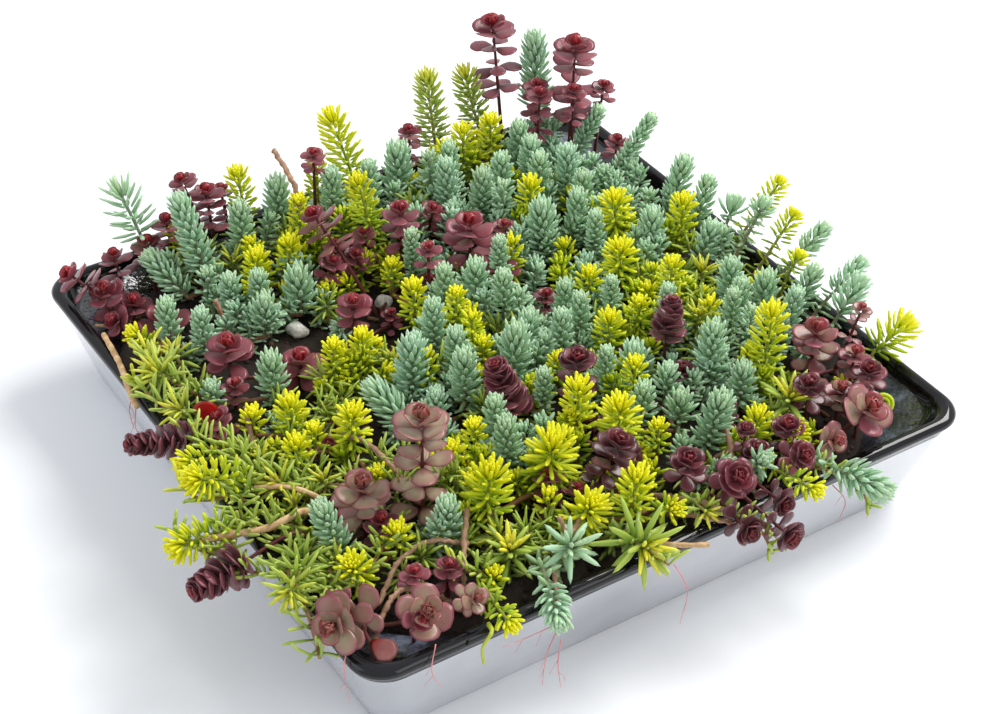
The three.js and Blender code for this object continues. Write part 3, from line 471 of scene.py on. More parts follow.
def join_clumps(shoots):
    """Joins the nearest feet of one kind by creeping stems until few enough clumps are left."""
    pairs = []
    for i, a in enumerate(shoots):
        for b in shoots[i + 1:]:
            if a.kind == b.kind:
                x = a.foot[0] - b.foot[0]
                y = a.foot[1] - b.foot[1]
                pairs.append((math.sqrt(x * x + y * y), a.index, b.index))
    pairs.sort()
    clump_of = [shoot.index for shoot in shoots]
    runners = []
    clumps = len(shoots)
    for _, i, j in pairs:
        if clumps <= MOST_CLUMPS:
            break
        a, b = shoots[i], shoots[j]
        mine, theirs = clump_of[i], clump_of[j]
        if mine == theirs:
            continue
        for way in runner_ways(a, b):
            if (foot_takes(a, way[1]) and foot_takes(b, way[-2])
                    and way_is_clear(way, a, b, shoots, clump_of, runners)):
                a.panels.append(way_from(a, way[1]))
                b.panels.append(way_from(b, way[-2]))
                runners.append((a, b, way))
                clump_of = [min(mine, theirs) if c in (mine, theirs) else c for c in clump_of]
                clumps -= 1
                break
    return clump_of, runners


def planted():
    """All shoots and creeping stems, by the name of the clump that they belong to."""
    shoots = []
    for kind, rows in SHOOTS.items():
        for row in rows:
            shoots.append(Shoot(kind, row, len(shoots)))
    settle(shoots)
    clump_of, runners = join_clumps(shoots)
    names, tally, clumps = {}, {}, {}
    for shoot in shoots:
        clump = clump_of[shoot.index]
        if clump not in names:
            tally[shoot.kind] = tally.get(shoot.kind, 0) + 1
            names[clump] = f"{shoot.kind}_stonecrop_{tally[shoot.kind]:02d}"
            clumps[names[clump]] = ([], [])
            shoot.rooted = True
        clumps[names[clump]][0].append(shoot)
    for a, _, way in runners:
        clumps[names[clump_of[a.index]]][1].append(way)
    return clumps


# ---- modelling helpers ----


def deselect_all():
    """Nothing selected, in object mode."""
    if bpy.context.object and bpy.context.object.mode == "EDIT":
        bpy.ops.object.mode_set(mode="OBJECT")
    bpy.ops.object.select_all(action="DESELECT")


def start_edit():
    """Edit mode, with all of the active piece selected."""
    bpy.ops.object.mode_set(mode="EDIT")
    bpy.ops.mesh.select_all(action="SELECT")


def end_edit():
    """Back to object mode."""
    bpy.ops.object.mode_set(mode="OBJECT")


def named(name):
    """The primitive that was just added, under its own name."""
    piece = bpy.context.object
    piece.name = name
    piece.data.name = name
    return piece


def extrude_ring(rise, scale):
    """Pulls the selected ring up and scales it, in edit mode."""
    bpy.ops.mesh.extrude_region_move(TRANSFORM_OT_translate={"value": (0, 0, rise)})
    bpy.ops.transform.resize(value=(scale, scale, 1))


def as_template(piece):
    """Takes a modelled leaf or lump off the scene as plain points and triangles to copy."""
    deselect_all()
    piece.select_set(True)
    bpy.context.view_layer.objects.active = piece
    start_edit()
    bpy.ops.mesh.quads_convert_to_tris()
    bpy.ops.mesh.normals_make_consistent(inside=False)
    end_edit()
    mesh = piece.data
    points = np.array([vertex.co[:] for vertex in mesh.vertices])
    faces = np.array([face.vertices[:] for face in mesh.polygons])
    bpy.data.objects.remove(piece)
    bpy.data.meshes.remove(mesh)
    return points, faces


# A needle's last ring, before it closes to a point, for the width of the ring below it
NEEDLE_POINT = 0.05


def needle_leaf(sides, rings):
    """A fleshy needle: x across, y along from 0 to 1, z thick. rings are (along, width)."""
    deselect_all()
    start, width = rings[0]
    bpy.ops.mesh.primitive_circle_add(vertices=sides, radius=width / 2, fill_type="NGON")
    leaf = bpy.context.object
    start_edit()
    for along, next_width in rings[1:]:
        extrude_ring(along - start, next_width / width)
        start, width = along, next_width
    extrude_ring(1 - start, NEEDLE_POINT)
    bpy.ops.mesh.merge(type="CENTER")
    end_edit()
    points, faces = as_template(leaf)
    return points[:, [0, 2, 1]] * [1, 1, -1], faces


# A round leaf's width at its foot, how fast it widens and how fully, and from where it has teeth
FOOT_WIDTH = 0.42
WIDENING = 1.55
FULLNESS = 0.8
TEETH_FROM = -0.2


def round_leaf(segments, rings, cup, teeth=0.0):
    """An obovate leaf, narrow at its foot, blunt at its slightly toothed end, and hollowed."""
    deselect_all()
    bpy.ops.mesh.primitive_uv_sphere_add(segments=segments, ring_count=rings, radius=1)
    leaf = bpy.context.object
    for vertex in leaf.data.vertices:
        x, y, z = vertex.co
        if abs(z) < 0.01 and y > TEETH_FROM:
            rim = max(math.hypot(x, y), 1)
            step = round(math.atan2(y, x) / (2 * math.pi) * segments)
            x, y = (value * (1 + (teeth if step % 2 else -teeth)) / rim for value in (x, y))
        along = (y + 1) / 2
        broad = FOOT_WIDTH + (1 - FOOT_WIDTH) * clamp(along * WIDENING, 0, 1) ** FULLNESS
        hollow = cup * (x * x + 0.6 * (y - 0.1) ** 2)
        vertex.co = (x / 2 * broad, along, z / 2 + hollow)
    return as_template(leaf)


# ---- what grows in one clump ----

# Below this, a leaf counts as straight
LEAST_CURL = 1e-3
UPWARDS = np.array([0.0, 0.0, 1.0])
# A stem that runs steeper than this is turned by another direction than upwards
STEEP = 0.8
STEEP_HINT = np.array([0.31, 0.95, 0.02])


def column(values):
    """One number for each leaf, to multiply its directions by."""
    return np.asarray(values)[:, None]


def unit(ways):
    """The same directions, each one long."""
    return ways / np.linalg.norm(ways, axis=-1, keepdims=True)


def drawn(draw, low, high, number):
    """Random numbers between low and high."""
    return np.array([draw.uniform(low, high) for _ in range(number)])


def shades(draw, middle, spread, number):
    """Each leaf's own tone, from 0 to 1."""
    return np.clip(middle + np.array([draw.gauss(0, spread) for _ in range(number)]), 0, 1)


def golden_spiral(number, draw):
    """The angles at which leaves follow each other up a stem."""
    return np.arange(number) * GOLDEN_ANGLE + draw.random() * 6


def round_stem(way, angle):
    """The directions square to a stem, at these angles round it."""
    hint = np.array([1.0, 0.0, 0.0]) if abs(way[0]) < 0.9 else np.array([0.0, 1.0, 0.0])
    u = unit(hint - way * way.dot(hint))
    return column(np.cos(angle)) * u + column(np.sin(angle)) * np.cross(way, u)


def raised(radial, way, rise):
    """The run and the upper side of leaves that rise from square to the stem towards its tip."""
    level, steep = column(np.cos(rise)), column(np.sin(rise))
    return radial * level + way * steep, way * level - radial * steep


class Growth:
    """Everything that grows in one clump, gathered before it becomes one mesh."""

    def __init__(self):
        self.points, self.faces, self.marks, self.finishes = [], [], [], []
        self.count = 0

    def take(self, points, faces, marks, finish):
        """marks are, by point: place along the leaf, height on the shoot, tone and edge."""
        self.points.append(points)
        self.faces.append(faces + self.count)
        self.marks.append(marks)
        self.finishes.append(np.full(len(faces), finish, dtype=np.int32))
        self.count += len(points)

    def leaves(self, template, base, out, up, long, wide, thick, curl, height, tone,
               edge=0, finish=0):
        """Copies of one leaf, each laid from its base along a curve that bends towards up."""
        points, faces = template
        x, y, z = points.T
        number = len(base)
        bend = column(np.where(np.abs(curl) < LEAST_CURL, LEAST_CURL, curl))
        turned = bend * y
        body = column(thick) * z
        run = column(long) * np.sin(turned) / bend - body * np.sin(turned)
        rise = column(long) * (1 - np.cos(turned)) / bend + body * np.cos(turned)
        side = column(wide) * x
        placed = base[:, None, :]
        for way, share in ((out, run), (up, rise), (np.cross(out, up), side)):
            placed = placed + way[:, None, :] * share[:, :, None]
        marks = np.empty((number, len(points), 4))
        for part, mark in enumerate((y, column(height), column(tone), edge)):
            marks[:, :, part] = mark
        first = np.arange(number)[:, None, None] * len(points)
        self.take(placed.reshape(-1, 3), (faces + first).reshape(-1, 3), marks.reshape(-1, 4),
                  finish)

    def stem(self, line, radii, heights, tone, sides=6, finish=1):
        """A round stem along a line of points, closed at both ends."""
        count = len(line)
        way = unit(np.gradient(line, axis=0))
        level = abs(way[:, 2]).max() < STEEP
        u = unit(np.cross(way, UPWARDS if level else STEEP_HINT))[:, None]
        v = np.cross(way, u[:, 0])[:, None]
        angles = np.arange(sides) * 2 * math.pi / sides
        circle = column(np.cos(angles)) * u + column(np.sin(angles)) * v
        points = (line[:, None] + circle * radii[:, None, None]).reshape(-1, 3)
        ends = [line[0] - way[0] * radii[0] / 2, line[-1] + way[-1] * radii[-1] / 2]
        faces = []
        for ring in range(count - 1):
            for i in range(sides):
                a, b = ring * sides + i, ring * sides + (i + 1) % sides
                faces += [(a, b, b + sides), (a, b + sides, a + sides)]
        foot, top, last = count * sides, count * sides + 1, (count - 1) * sides
        for i in range(sides):
            faces += [(foot, (i + 1) % sides, i), (top, last + i, last + (i + 1) % sides)]
        marks = np.zeros((foot + 2, 4))
        marks[:foot, 1] = np.repeat(heights, sides)
        marks[foot:, 1] = [heights[0], heights[-1]]
        marks[:, 2] = tone
        self.take(np.vstack([points, ends]), np.array(faces), marks, finish)

    def piece(self, name, finishes, material_slot):
        """Makes the gathered growth one piece of the model."""
        points = np.vstack(self.points) * MM
        faces = np.vstack(self.faces)
        number = len(faces)
        mesh = bpy.data.meshes.new(name)
        mesh.vertices.add(len(points))
        mesh.loops.add(3 * number)
        mesh.polygons.add(number)
        mesh.vertices.foreach_set("co", points.astype(np.float32).ravel())
        mesh.loops.foreach_set("vertex_index", faces.astype(np.int32).ravel())
        mesh.polygons.foreach_set("loop_start", np.arange(number, dtype=np.int32) * 3)
        mesh.polygons.foreach_set("material_index", np.concatenate(self.finishes))
        mesh.polygons.foreach_set("use_smooth", np.ones(number, dtype=bool))
        mesh.update(calc_edges=True)
        marks = mesh.attributes.new("leaf", "FLOAT_COLOR", "POINT")
        marks.data.foreach_set("color", np.vstack(self.marks).astype(np.float32).ravel())
        for finish in finishes:
            mesh.materials.append(finish)
        piece = bpy.data.objects.new(name, mesh)
        bpy.context.scene.collection.objects.link(piece)
        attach(piece, "root")
        return piece


def smooth_line(corners, step=2.4):
    """A line through its corners with a point every few millimetres, rounded where it turns."""
    corners = [np.asarray(corner, dtype=float) for corner in corners]
    points = [corners[0]]
    ends = 2 * corners[0] - corners[1], 2 * corners[-1] - corners[-2]
    padded = [ends[0]] + corners + [ends[1]]
    for i in range(1, len(padded) - 2):
        p0, p1, p2, p3 = padded[i - 1: i + 3]
        parts = max(2, round(np.linalg.norm(p2 - p1) / step))
        for k in range(1, parts + 1):
            t = k / parts
            square = (2 * p0 - 5 * p1 + 4 * p2 - p3) * t ** 2
            cube = (3 * p1 - p0 - 3 * p2 + p3) * t ** 3
            points.append(0.5 * (2 * p1 + (p2 - p0) * t + square + cube))
    return np.array(points)


def points_along(line, marks, where):
    """The points at some marks along a line."""
    return np.stack([np.interp(where, marks, line[:, k]) for k in range(3)], axis=1)


# How the needle-leaved kinds grow: leaf spacing up the shoot, leaf width and thickness, the rise
# in degrees of the lowest leaves, of those below the crown and of those at the very tip, how many
# crowd the tip, how far a leaf curls in, the longest leaf, and where it isn't the usual: how loose
# the leaves stand, how far they spread and how much shorter the youngest are
HABITS = {
    "blue": dict(spacing=0.36, width=2.15, thick=1.4, low=20, middle=52, high=86, crown=24,
                 curl=0.5, longest=9.5),
    "yellow": dict(spacing=0.42, width=1.8, thick=1.2, low=8, middle=38, high=84, crown=20,
                   curl=0.35, longest=10),
    "star": dict(spacing=0.34, width=1.8, thick=1.2, low=-12, middle=30, high=80, crown=24,
                 curl=0.2, longest=11, loose=0.12),
    "green": dict(spacing=0.62, width=1.7, thick=1.3, low=-6, middle=30, high=76, crown=9,
                  curl=-0.35, longest=16, loose=0.3, spread=1.3),
    "open": dict(spacing=0.5, width=2.3, thick=1.5, low=-32, middle=26, high=70, crown=15,
                 curl=-0.15, longest=19, loose=0.14, spread=1.3, young=0.52),
    "silver": dict(spacing=0.6, width=2.4, thick=1.6, low=-30, middle=22, high=80, crown=10,
                   curl=0.1, longest=14, loose=0.2, spread=1.2),
    "bushy": dict(spacing=0.34, width=1.6, thick=1.2, low=4, middle=40, high=80, crown=14,
                  curl=0.4, longest=12, loose=0.14, spread=1.05),
    "ragged": dict(spacing=0.66, width=2.0, thick=1.4, low=-4, middle=36, high=76, crown=9,
                   curl=0.3, longest=12, loose=0.22, spread=1.1),
    "sprig": dict(spacing=0.6, width=2.3, thick=1.5, low=4, middle=36, high=82, crown=10,
                  curl=0.4, longest=8.5, loose=0.2),
    "leggy": dict(spacing=0.72, width=1.5, thick=1.2, low=-4, middle=44, high=80, crown=7,
                  curl=-0.45, longest=14, loose=0.45, spread=1.3),
}
USUAL_LOOSE, USUAL_SPREAD, USUAL_YOUNG = 0.05, 1.07, 0.24

# A yellow head at least this wide and at most this long opens to a star
STAR_WIDTH, STAR_LENGTH = 16, 25

# Single shoots that grow otherwise than the rest of their kind, by kind and the tip's x and y
OPEN_HEADS = {
    ("green", -26, -150): "open", ("green", -62, -116): "open", ("green", 72, -107): "open",
    ("blue", -45, -128): "silver", ("blue", -104, 137): "ragged",
    ("green", 76, 125): "bushy", ("green", 47, 128): "bushy",
}
ROLLED_LEAF = ("yellow", 109, -124)
RED_CONES = {("red", 58, -46), ("red", -30, -45), ("red", -155, 5), ("red", -172, -68)}
TALL_REDS = {("red", 79, 128), ("red", 112, 106), ("red", -79, -72), ("red", 90, 99)}
OLIVE_HEARTS = {("red", -147, -120), ("red", -105, -133), ("red", -79, -72),
                ("red", -101, -72), ("red", -92, -140)}
BROWN_HEARTS = {("red", 94, -132), ("red", 104, -84), ("red", 112, -98), ("red", 95, -110),
                ("red", 92, -95), ("red", 72, -133), ("red", 126, -86)}


# The stem in a needle-leaved head: its radius at most and for the head's, and how much
# thinner it is at the tip
HEAD_CORE, CORE_SHARE, CORE_TAPER = 1.6, 0.24, 0.75
# How much of a leaf's curl already leans it in at its foot
LEAN_SHARE = 0.4
# How far the longest leaves reach past the leafy stem, and its least share of the head
PAST_STEM, LEAST_BODY = 0.93, 0.3
FEWEST_LEAVES = 8
# How fast the leaves rise up the stem and in the crown, and shorten towards the tip
RISE_POWER, CROWN_POWER, YOUNG_POWER = 1.3, 0.75, 1.5
SHORTER_UP, CROWN_LIFT, CROWN_SLIM = 0.05, 0.12, 0.2
# How uneven the leaves are: round the stem in radians, in length, in curl and in tone
ANGLE_DRIFT, LENGTHS, CURLS, TONE_DRIFT = 0.07, (0.93, 1.05), (0.6, 1.3), 0.12
# Leaves longer than the usual are wider too, by this share
USUAL_LEAF, WIDTH_FOLLOWS = 8, 0.25
# How much younger the leaves look up the stem, and then in the crown. A young heart starts
# this far in the crown, and the leaves round it look this much older.
STEM_YOUTH, CROWN_YOUTH = 0.72, 0.28
YOUNG_HEART, OLD_COLLAR = 0.35, 0.35


def needle_head(growth, template, shoot, habit, draw):
    """A needle-leaved head: leaves on a golden spiral, crowded into a round crown at the tip."""
    radius = shoot.width / 2 * habit.get("spread", USUAL_SPREAD)
    core = min(HEAD_CORE, radius * CORE_SHARE)
    low, middle, high = (math.radians(habit[part]) for part in ("low", "middle", "high"))
    lean_in = habit["curl"] * LEAN_SHARE
    full = min(habit["longest"], (radius - core) / math.cos(max(low + lean_in, 0)))
    body = max(shoot.length - full * PAST_STEM, shoot.length * LEAST_BODY)
    number = max(FEWEST_LEAVES, round(body / habit["spacing"]))
    crown = habit["crown"]
    up_stem = np.concatenate([(np.arange(number) + 0.5) / number, np.ones(crown)])
    in_crown = np.concatenate([np.zeros(number), (np.arange(crown) + 1) / crown])
    count = number + crown
    way = np.array(shoot.way)
    angle = golden_spiral(count, draw) + drawn(draw, -ANGLE_DRIFT, ANGLE_DRIFT, count)
    radial = round_stem(way, angle)
    rise = low + (middle - low) * up_stem ** RISE_POWER
    rise = rise + (high - middle) * in_crown ** CROWN_POWER
    rise += drawn(draw, -1, 1, count) * habit.get("loose", USUAL_LOOSE)
    shorter = habit.get("young", USUAL_YOUNG) * in_crown ** YOUNG_POWER
    long = full * (1 - SHORTER_UP * up_stem - shorter) * drawn(draw, *LENGTHS, count)
    along = up_stem * body + in_crown * full * CROWN_LIFT
    base = np.array(shoot.knee) + way * column(along)
    base += radial * column(core * (1 - CORE_TAPER * in_crown))
    out, up = raised(radial, way, rise)
    wide = habit["width"] * (1 - WIDTH_FOLLOWS + WIDTH_FOLLOWS * (full / USUAL_LEAF))
    wide = wide * (1 - CROWN_SLIM * in_crown)
    thick = wide * habit["thick"] / habit["width"]
    curl = habit["curl"] * drawn(draw, *CURLS, count)
    tone = shades(draw, shoot.tone, TONE_DRIFT, count)
    height = (STEM_YOUTH * up_stem + CROWN_YOUTH * in_crown) * shoot.youth
    if "young" in habit:
        height = np.where(in_crown > YOUNG_HEART, 1, height * OLD_COLLAR)
    growth.leaves(template, base, out, up, long, wide, thick, curl, height, tone)


OLD_LEAF_SPACING = 1.2


def old_leaves(growth, template, line, habit, tone, draw):
    """Sparse older leaves down the bare part of a stem, spreading and a little reflexed."""
    lengths = np.linalg.norm(np.diff(line, axis=0), axis=1)
    total = lengths.sum()
    number = int(total / OLD_LEAF_SPACING)
    if number < 2:
        return
    marks = np.concatenate([[0], np.cumsum(lengths)])
    base = points_along(line, marks, np.linspace(total * 0.2, total * 0.98, number))
    way = unit(line[-1] - line[0])
    radial = round_stem(way, golden_spiral(number, draw))
    out, up = raised(radial, way, drawn(draw, -0.35, 0.35, number))
    long = drawn(draw, 5, 7.5, number)
    # a leaf tip doesn't dip into the soil or the lip
    for i in range(number):
        tip = base[i] + out[i] * long[i]
        short = floor_at(tip) - tip[2]
        if short > 0:
            out[i] = unit(out[i] + [0, 0, short / long[i]])
            up[i] = unit(up[i] - out[i] * up[i].dot(out[i]))
    wide = np.full(number, habit["width"] * 0.9)
    curl = drawn(draw, -0.2, 0.5, number)
    tone = shades(draw, tone, 0.2, number)
    old = np.full(number, -0.25)
    growth.leaves(template, base, out, up, long, wide, wide * 0.65, curl, old, tone)


# Leaves of the red kind turn a little to where the light comes from
LIGHT_SIDE = np.array([-0.45, -0.7, 0.4])
LIGHT_TURN = 0.22
# The rose at a red shoot's tip, from the outside in: how far below the tip its leaves start and
# how long they are, both for a head one wide from its middle, their rise in degrees, how many,
# and how young
ROSE = [(0.66, 1.0, 8, 5, 0.42), (0.52, 0.86, 26, 5, 0.55), (0.4, 0.64, 44, 5, 0.7),
        (0.32, 0.46, 60, 4, 0.85), (0.26, 0.34, 72, 4, 0.95), (0.22, 0.24, 82, 3, 1)]
OPEN_ROSE = [(0.92, 1.0, 6, 4, 0.25), (0.7, 0.72, 22, 4, 0.58), (0.56, 0.56, 52, 5, 0.84),
             (0.5, 0.5, 66, 4, 0.92), (0.42, 0.4, 78, 4, 1), (0.38, 0.32, 86, 2, 1)]
# The forms of a red head: the rose at its tip, the way between its pairs of leaves, and how
# far the leaves reach for the width of the head
FORMS = {"cone": (ROSE, 2.1, 1.0), "rose": (ROSE, 6, 0.98),
         "open": (OPEN_ROSE, 7.5, 0.98), "tall": (OPEN_ROSE, 10, 1.0)}
CONE_ROSE = 0.62
FULL_CORNER = 1.2
# How far one layer or pair is turned from the next, and how uneven its leaves are: round
# the stem in radians, in rise in degrees, in width for the length, and in length
LAYER_TURN, LAYER_DRIFT, LAYER_TILT, LAYER_WIDTHS = 1.1, 0.14, 6, (0.94, 1.12)
PAIR_TURN, PAIR_DRIFT, PAIR_TILT, PAIR_WIDTHS = 0.8, 0.2, 7, (0.72, 0.86)
PAIR_LENGTHS = (0.9, 1.1)
# The rise of the pairs in degrees, at the foot and how much more at the tip
CONE_RISE, PAIR_RISE = (14, 34), (-8, 14)
# A cone's leaves for its radius, at the foot and how much less at the tip
CONE_LENGTH = (1.1, 0.42)
# The first pair starts this far below the rose, for its size and for the way between pairs
BELOW_ROSE, BELOW_GAP = 0.75, 0.9
# How far above its partners every second leaf stands: at most, and for the way between
SECOND_MOST, SECOND_SHARE = 1.4, 0.25


def rosette_leaves(shoot, draw):
    """Each leaf of a red head: angle, place up the head, rise, length, width and youth."""
    rose, gap, _ = FORMS[shoot.form]
    radius = shoot.width / 2 * shoot.fullness
    cone = shoot.form == "cone"
    scale = radius * CONE_ROSE if cone else radius
    turn = draw.random() * 6
    for layer, (below, length, rise, count, young) in enumerate(rose):
        for i in range(count):
            place = i + draw.uniform(-LAYER_DRIFT, LAYER_DRIFT)
            angle = turn + layer * LAYER_TURN + place * 2 * math.pi / count
            long = length * scale
            tilt = rise + draw.uniform(-LAYER_TILT, LAYER_TILT)
            wide = long * draw.uniform(*LAYER_WIDTHS)
            yield angle, shoot.length - below * scale, tilt, long, wide, young
    lowest = shoot.length - shoot.leafy if shoot.form == "tall" else 0
    along = shoot.length - BELOW_ROSE * scale - gap * BELOW_GAP
    tier = 0
    while along > lowest - 0.5 * gap:
        part = clamp(along / shoot.length, 0, 1)
        for i in range(4):
            angle = turn + tier * PAIR_TURN + i * math.pi / 2
            angle += draw.uniform(-PAIR_DRIFT, PAIR_DRIFT)
            least, more = CONE_RISE if cone else PAIR_RISE
            if cone:
                long = radius * (CONE_LENGTH[0] - CONE_LENGTH[1] * part)
                wide = long * draw.uniform(*LAYER_WIDTHS)
            else:
                long = radius * draw.uniform(*PAIR_LENGTHS)
                wide = long * draw.uniform(*PAIR_WIDTHS)
            above = (i % 2) * min(SECOND_MOST, gap * SECOND_SHARE)
            tilt = least + more * part + draw.uniform(-PAIR_TILT, PAIR_TILT)
            yield angle, along + above, tilt, long, wide, 0.5 * part
        along -= gap
        tier += 1


def rosette_head(growth, template, shoot, draw):
    """A red head: crossed pairs of round leaves up the stem, and a rose of leaves at its tip."""
    angle, along, rise, long, wide, young = np.array(list(rosette_leaves(shoot, draw))).T
    way = np.array(shoot.way)
    radial = round_stem(way, angle)
    base = np.array(shoot.tip) + way * column(along - shoot.length)
    base += radial * column(0.5 * (1 - young))
    out, up = raised(radial, way, np.radians(rise))
    up = up + LIGHT_SIDE * column(LIGHT_TURN * np.clip(1 - young * 1.2, 0, 1))
    up = unit(up - out * column((up * out).sum(axis=1)))
    points = template[0]
    edge = np.clip((np.hypot(points[:, 0] * 2, points[:, 1] * 2 - 1) - 0.5) / 0.5, 0, 1)
    thick = np.clip(long * 0.1, 0.5, 0.9)
    curl = 0.1 + 0.75 * young + drawn(draw, -0.2, 0.3, len(long))
    tone = shades(draw, shoot.tone, 0.1, len(long))
    growth.leaves(template, base, out, up, long, wide, thick, curl, young, tone, edge)


# The rolled shoot, in millimetres: its first and last turn, the points of its line, how far
# from the middle it starts and how far a turn leads out, and the two ways that it winds in
COIL_FROM, COIL_TO, COIL_POINTS = 0.6, 2.6, 40
COIL_START, COIL_OUT, COIL_BELOW, COIL_RADIUS = 0.6, 1.5, 4, 0.8
COIL_ACROSS, COIL_UP = np.array([0.84, -0.54, 0.02]), np.array([0.3, 0.5, 0.81])


def coil(growth, shoot):
    """A shoot rolled up like a snail, with its flat side to the front."""
    middle = np.array(shoot.tip) - np.array(shoot.way) * COIL_BELOW
    turns = np.linspace(COIL_FROM, COIL_TO, COIL_POINTS)
    angle = turns * 2 * math.pi
    winding = COIL_ACROSS * column(np.cos(angle)) + COIL_UP * column(np.sin(angle))
    line = middle + winding * column(COIL_START + COIL_OUT * turns)
    growth.stem(line, np.full(COIL_POINTS, COIL_RADIUS), np.full(COIL_POINTS, 0.7), 0.6, finish=0)


# The tones of red heads: in the shaded part of the carpet, in the light, with a brown heart,
# with an olive heart, and of the cones
SHADED_TONE, LIT_TONE, BROWN_TONE, OLIVE_TONE, CONE_TONE = (
    (0.02, 0.2), (0.36, 0.54), (0.7, 0.78), 0.94, (0.12, 0.25))


def choose_form(shoot, draw):
    """The tone and the form of a red shoot, by where it stands."""
    shaded = shoot.tip[0] > -20 and shoot.tip[1] < -40
    shoot.tone = draw.uniform(*(SHADED_TONE if shaded else LIT_TONE))
    shoot.form = "rose" if shaded else "open"
    if shoot.read_from in BROWN_HEARTS:
        shoot.tone = draw.uniform(*BROWN_TONE)
        shoot.form = "open"
    if shoot.read_from in OLIVE_HEARTS:
        shoot.tone = OLIVE_TONE
    if shoot.read_from in TALL_REDS:
        shoot.form = "tall"
    if shoot.read_from in RED_CONES:
        shoot.form = "cone"
        shoot.tone = draw.uniform(*CONE_TONE)
    in_full_corner = shoot.tip[0] < -60 and shoot.tip[1] > 80
    shoot.fullness = FULL_CORNER if in_full_corner else FORMS[shoot.form][2]


# The radius of each kind's standing stems, at their feet
STEM_THICK = {"blue": 1.0, "yellow": 0.9, "green": 0.95, "red": 0.95}


def grow_shoot(growth, shoot, templates, draw):
    """The stem of a shoot from its foot to its tip, and its leaves."""
    kind = shoot.kind
    shoot.tone = clamp(draw.gauss(0.5, 0.17), 0, 1)
    if kind == "red":
        choose_form(shoot, draw)
    foot = list(shoot.line[0])
    fall = corner_fall(foot[0], foot[1])
    if shoot.rooted or shoot.sprig or fall > 1:
        foot[2] = SOIL_TOP - ROOT_DEPTH * 0.5 - fall
    line = smooth_line([foot] + shoot.line[1:])
    stem_end = add(shoot.knee, times(shoot.way, shoot.length * 0.72))
    whole = np.vstack([line, smooth_line([shoot.knee, stem_end], step=5)[1:]])
    share = np.linspace(0, 1, len(whole))
    growth.stem(whole, STEM_THICK[kind] * (1.12 - 0.5 * share), share, shoot.tone,
                sides=4 if shoot.sprig else 6)
    if kind == "red":
        small = shoot.sprig and shoot.youth < 1
        rosette_head(growth, templates["small" if small else "round"], shoot, draw)
    elif shoot.read_from == ROLLED_LEAF:
        coil(growth, shoot)
    else:
        star = kind == "yellow" and shoot.width >= STAR_WIDTH and shoot.leafy <= STAR_LENGTH
        habit = HABITS[OPEN_HEADS.get(shoot.read_from, "star" if star else kind)]
        if shoot.sprig:
            habit = HABITS["leggy" if kind == "green" else "sprig"]
        leaf = "short" if shoot.sprig else "blunt" if kind == "yellow" else "needle"
        needle_head(growth, templates[leaf], shoot, habit, draw)
        old_leaves(growth, templates["short"], line, habit, shoot.tone, draw)


def trailing_stem(growth, template, way, radius, longest, youth, draw):
    """A lying stem with long soft leaves that stand up from it every which way."""
    line = smooth_line(way, step=1.8)
    count = len(line)
    rings = 1 + 0.12 * (np.arange(count) % 3 == 0)
    radii = np.linspace(radius, radius * 0.7, count) * rings
    growth.stem(line, radii, np.full(count, 0.1), draw.random())
    number = int(count * 1.5)
    where = np.linspace(0.5, count - 1, number)
    base = points_along(line, np.arange(count), where)
    lengthwise = unit(np.gradient(line, axis=0)[where.astype(int)])
    sideways = np.cross(lengthwise, UPWARDS)
    angle = golden_spiral(number, draw)
    lift_up = np.abs(np.sin(angle)) * 0.9 + 0.15
    out = sideways * column(np.cos(angle)) + np.outer(lift_up, UPWARDS)
    out = unit(out + lengthwise * column(drawn(draw, -0.1, 0.9, number)))
    up = unit(np.cross(np.cross(out, lengthwise), out))
    long = drawn(draw, 0.6, 1, number) * longest
    wide = np.full(number, 1.65)
    curl = drawn(draw, -0.9, 0.9, number)
    height = youth * (np.arange(number) / number) ** 3 + 0.05
    tone = shades(draw, 0.55, 0.2, number)
    growth.leaves(template, base, out, up, long, wide, wide * 0.8, curl, height, tone)


def creeping_stem(growth, way, kind, draw):
    """A creeping stem between two feet, a little wavy."""
    line = smooth_line(way, step=3)
    for i in range(1, len(line) - 1):
        line[i] += [draw.uniform(-most, most) for most in (0.35, 0.35, 0.3)]
    radius = 1.0 if kind != "red" else 0.85
    radii = radius * drawn(draw, 0.9, 1.1, len(line))
    growth.stem(line, radii, np.full(len(line), 0.05), draw.random())


# ---- finishes ----

# The shader's sockets that a finish sets all over, by plain names
SOCKETS = {
    "ior": "IOR", "coat": "Coat Weight", "coat_rough": "Coat Roughness",
    "sheen": "Sheen Weight", "sheen_rough": "Sheen Roughness", "specular": "Specular IOR Level",
    "soft": "Subsurface Weight", "soft_depth": "Subsurface Scale",
    "soft_reach": "Subsurface Radius",
}


def tint(red, green, blue):
    """A colour given as seen on a screen, 0 to 255, as the light that it stands for."""
    def light(value):
        value /= 255
        return value / 12.92 if value <= 0.04045 else ((value + 0.055) / 1.055) ** 2.4
    return light(red), light(green), light(blue), 1


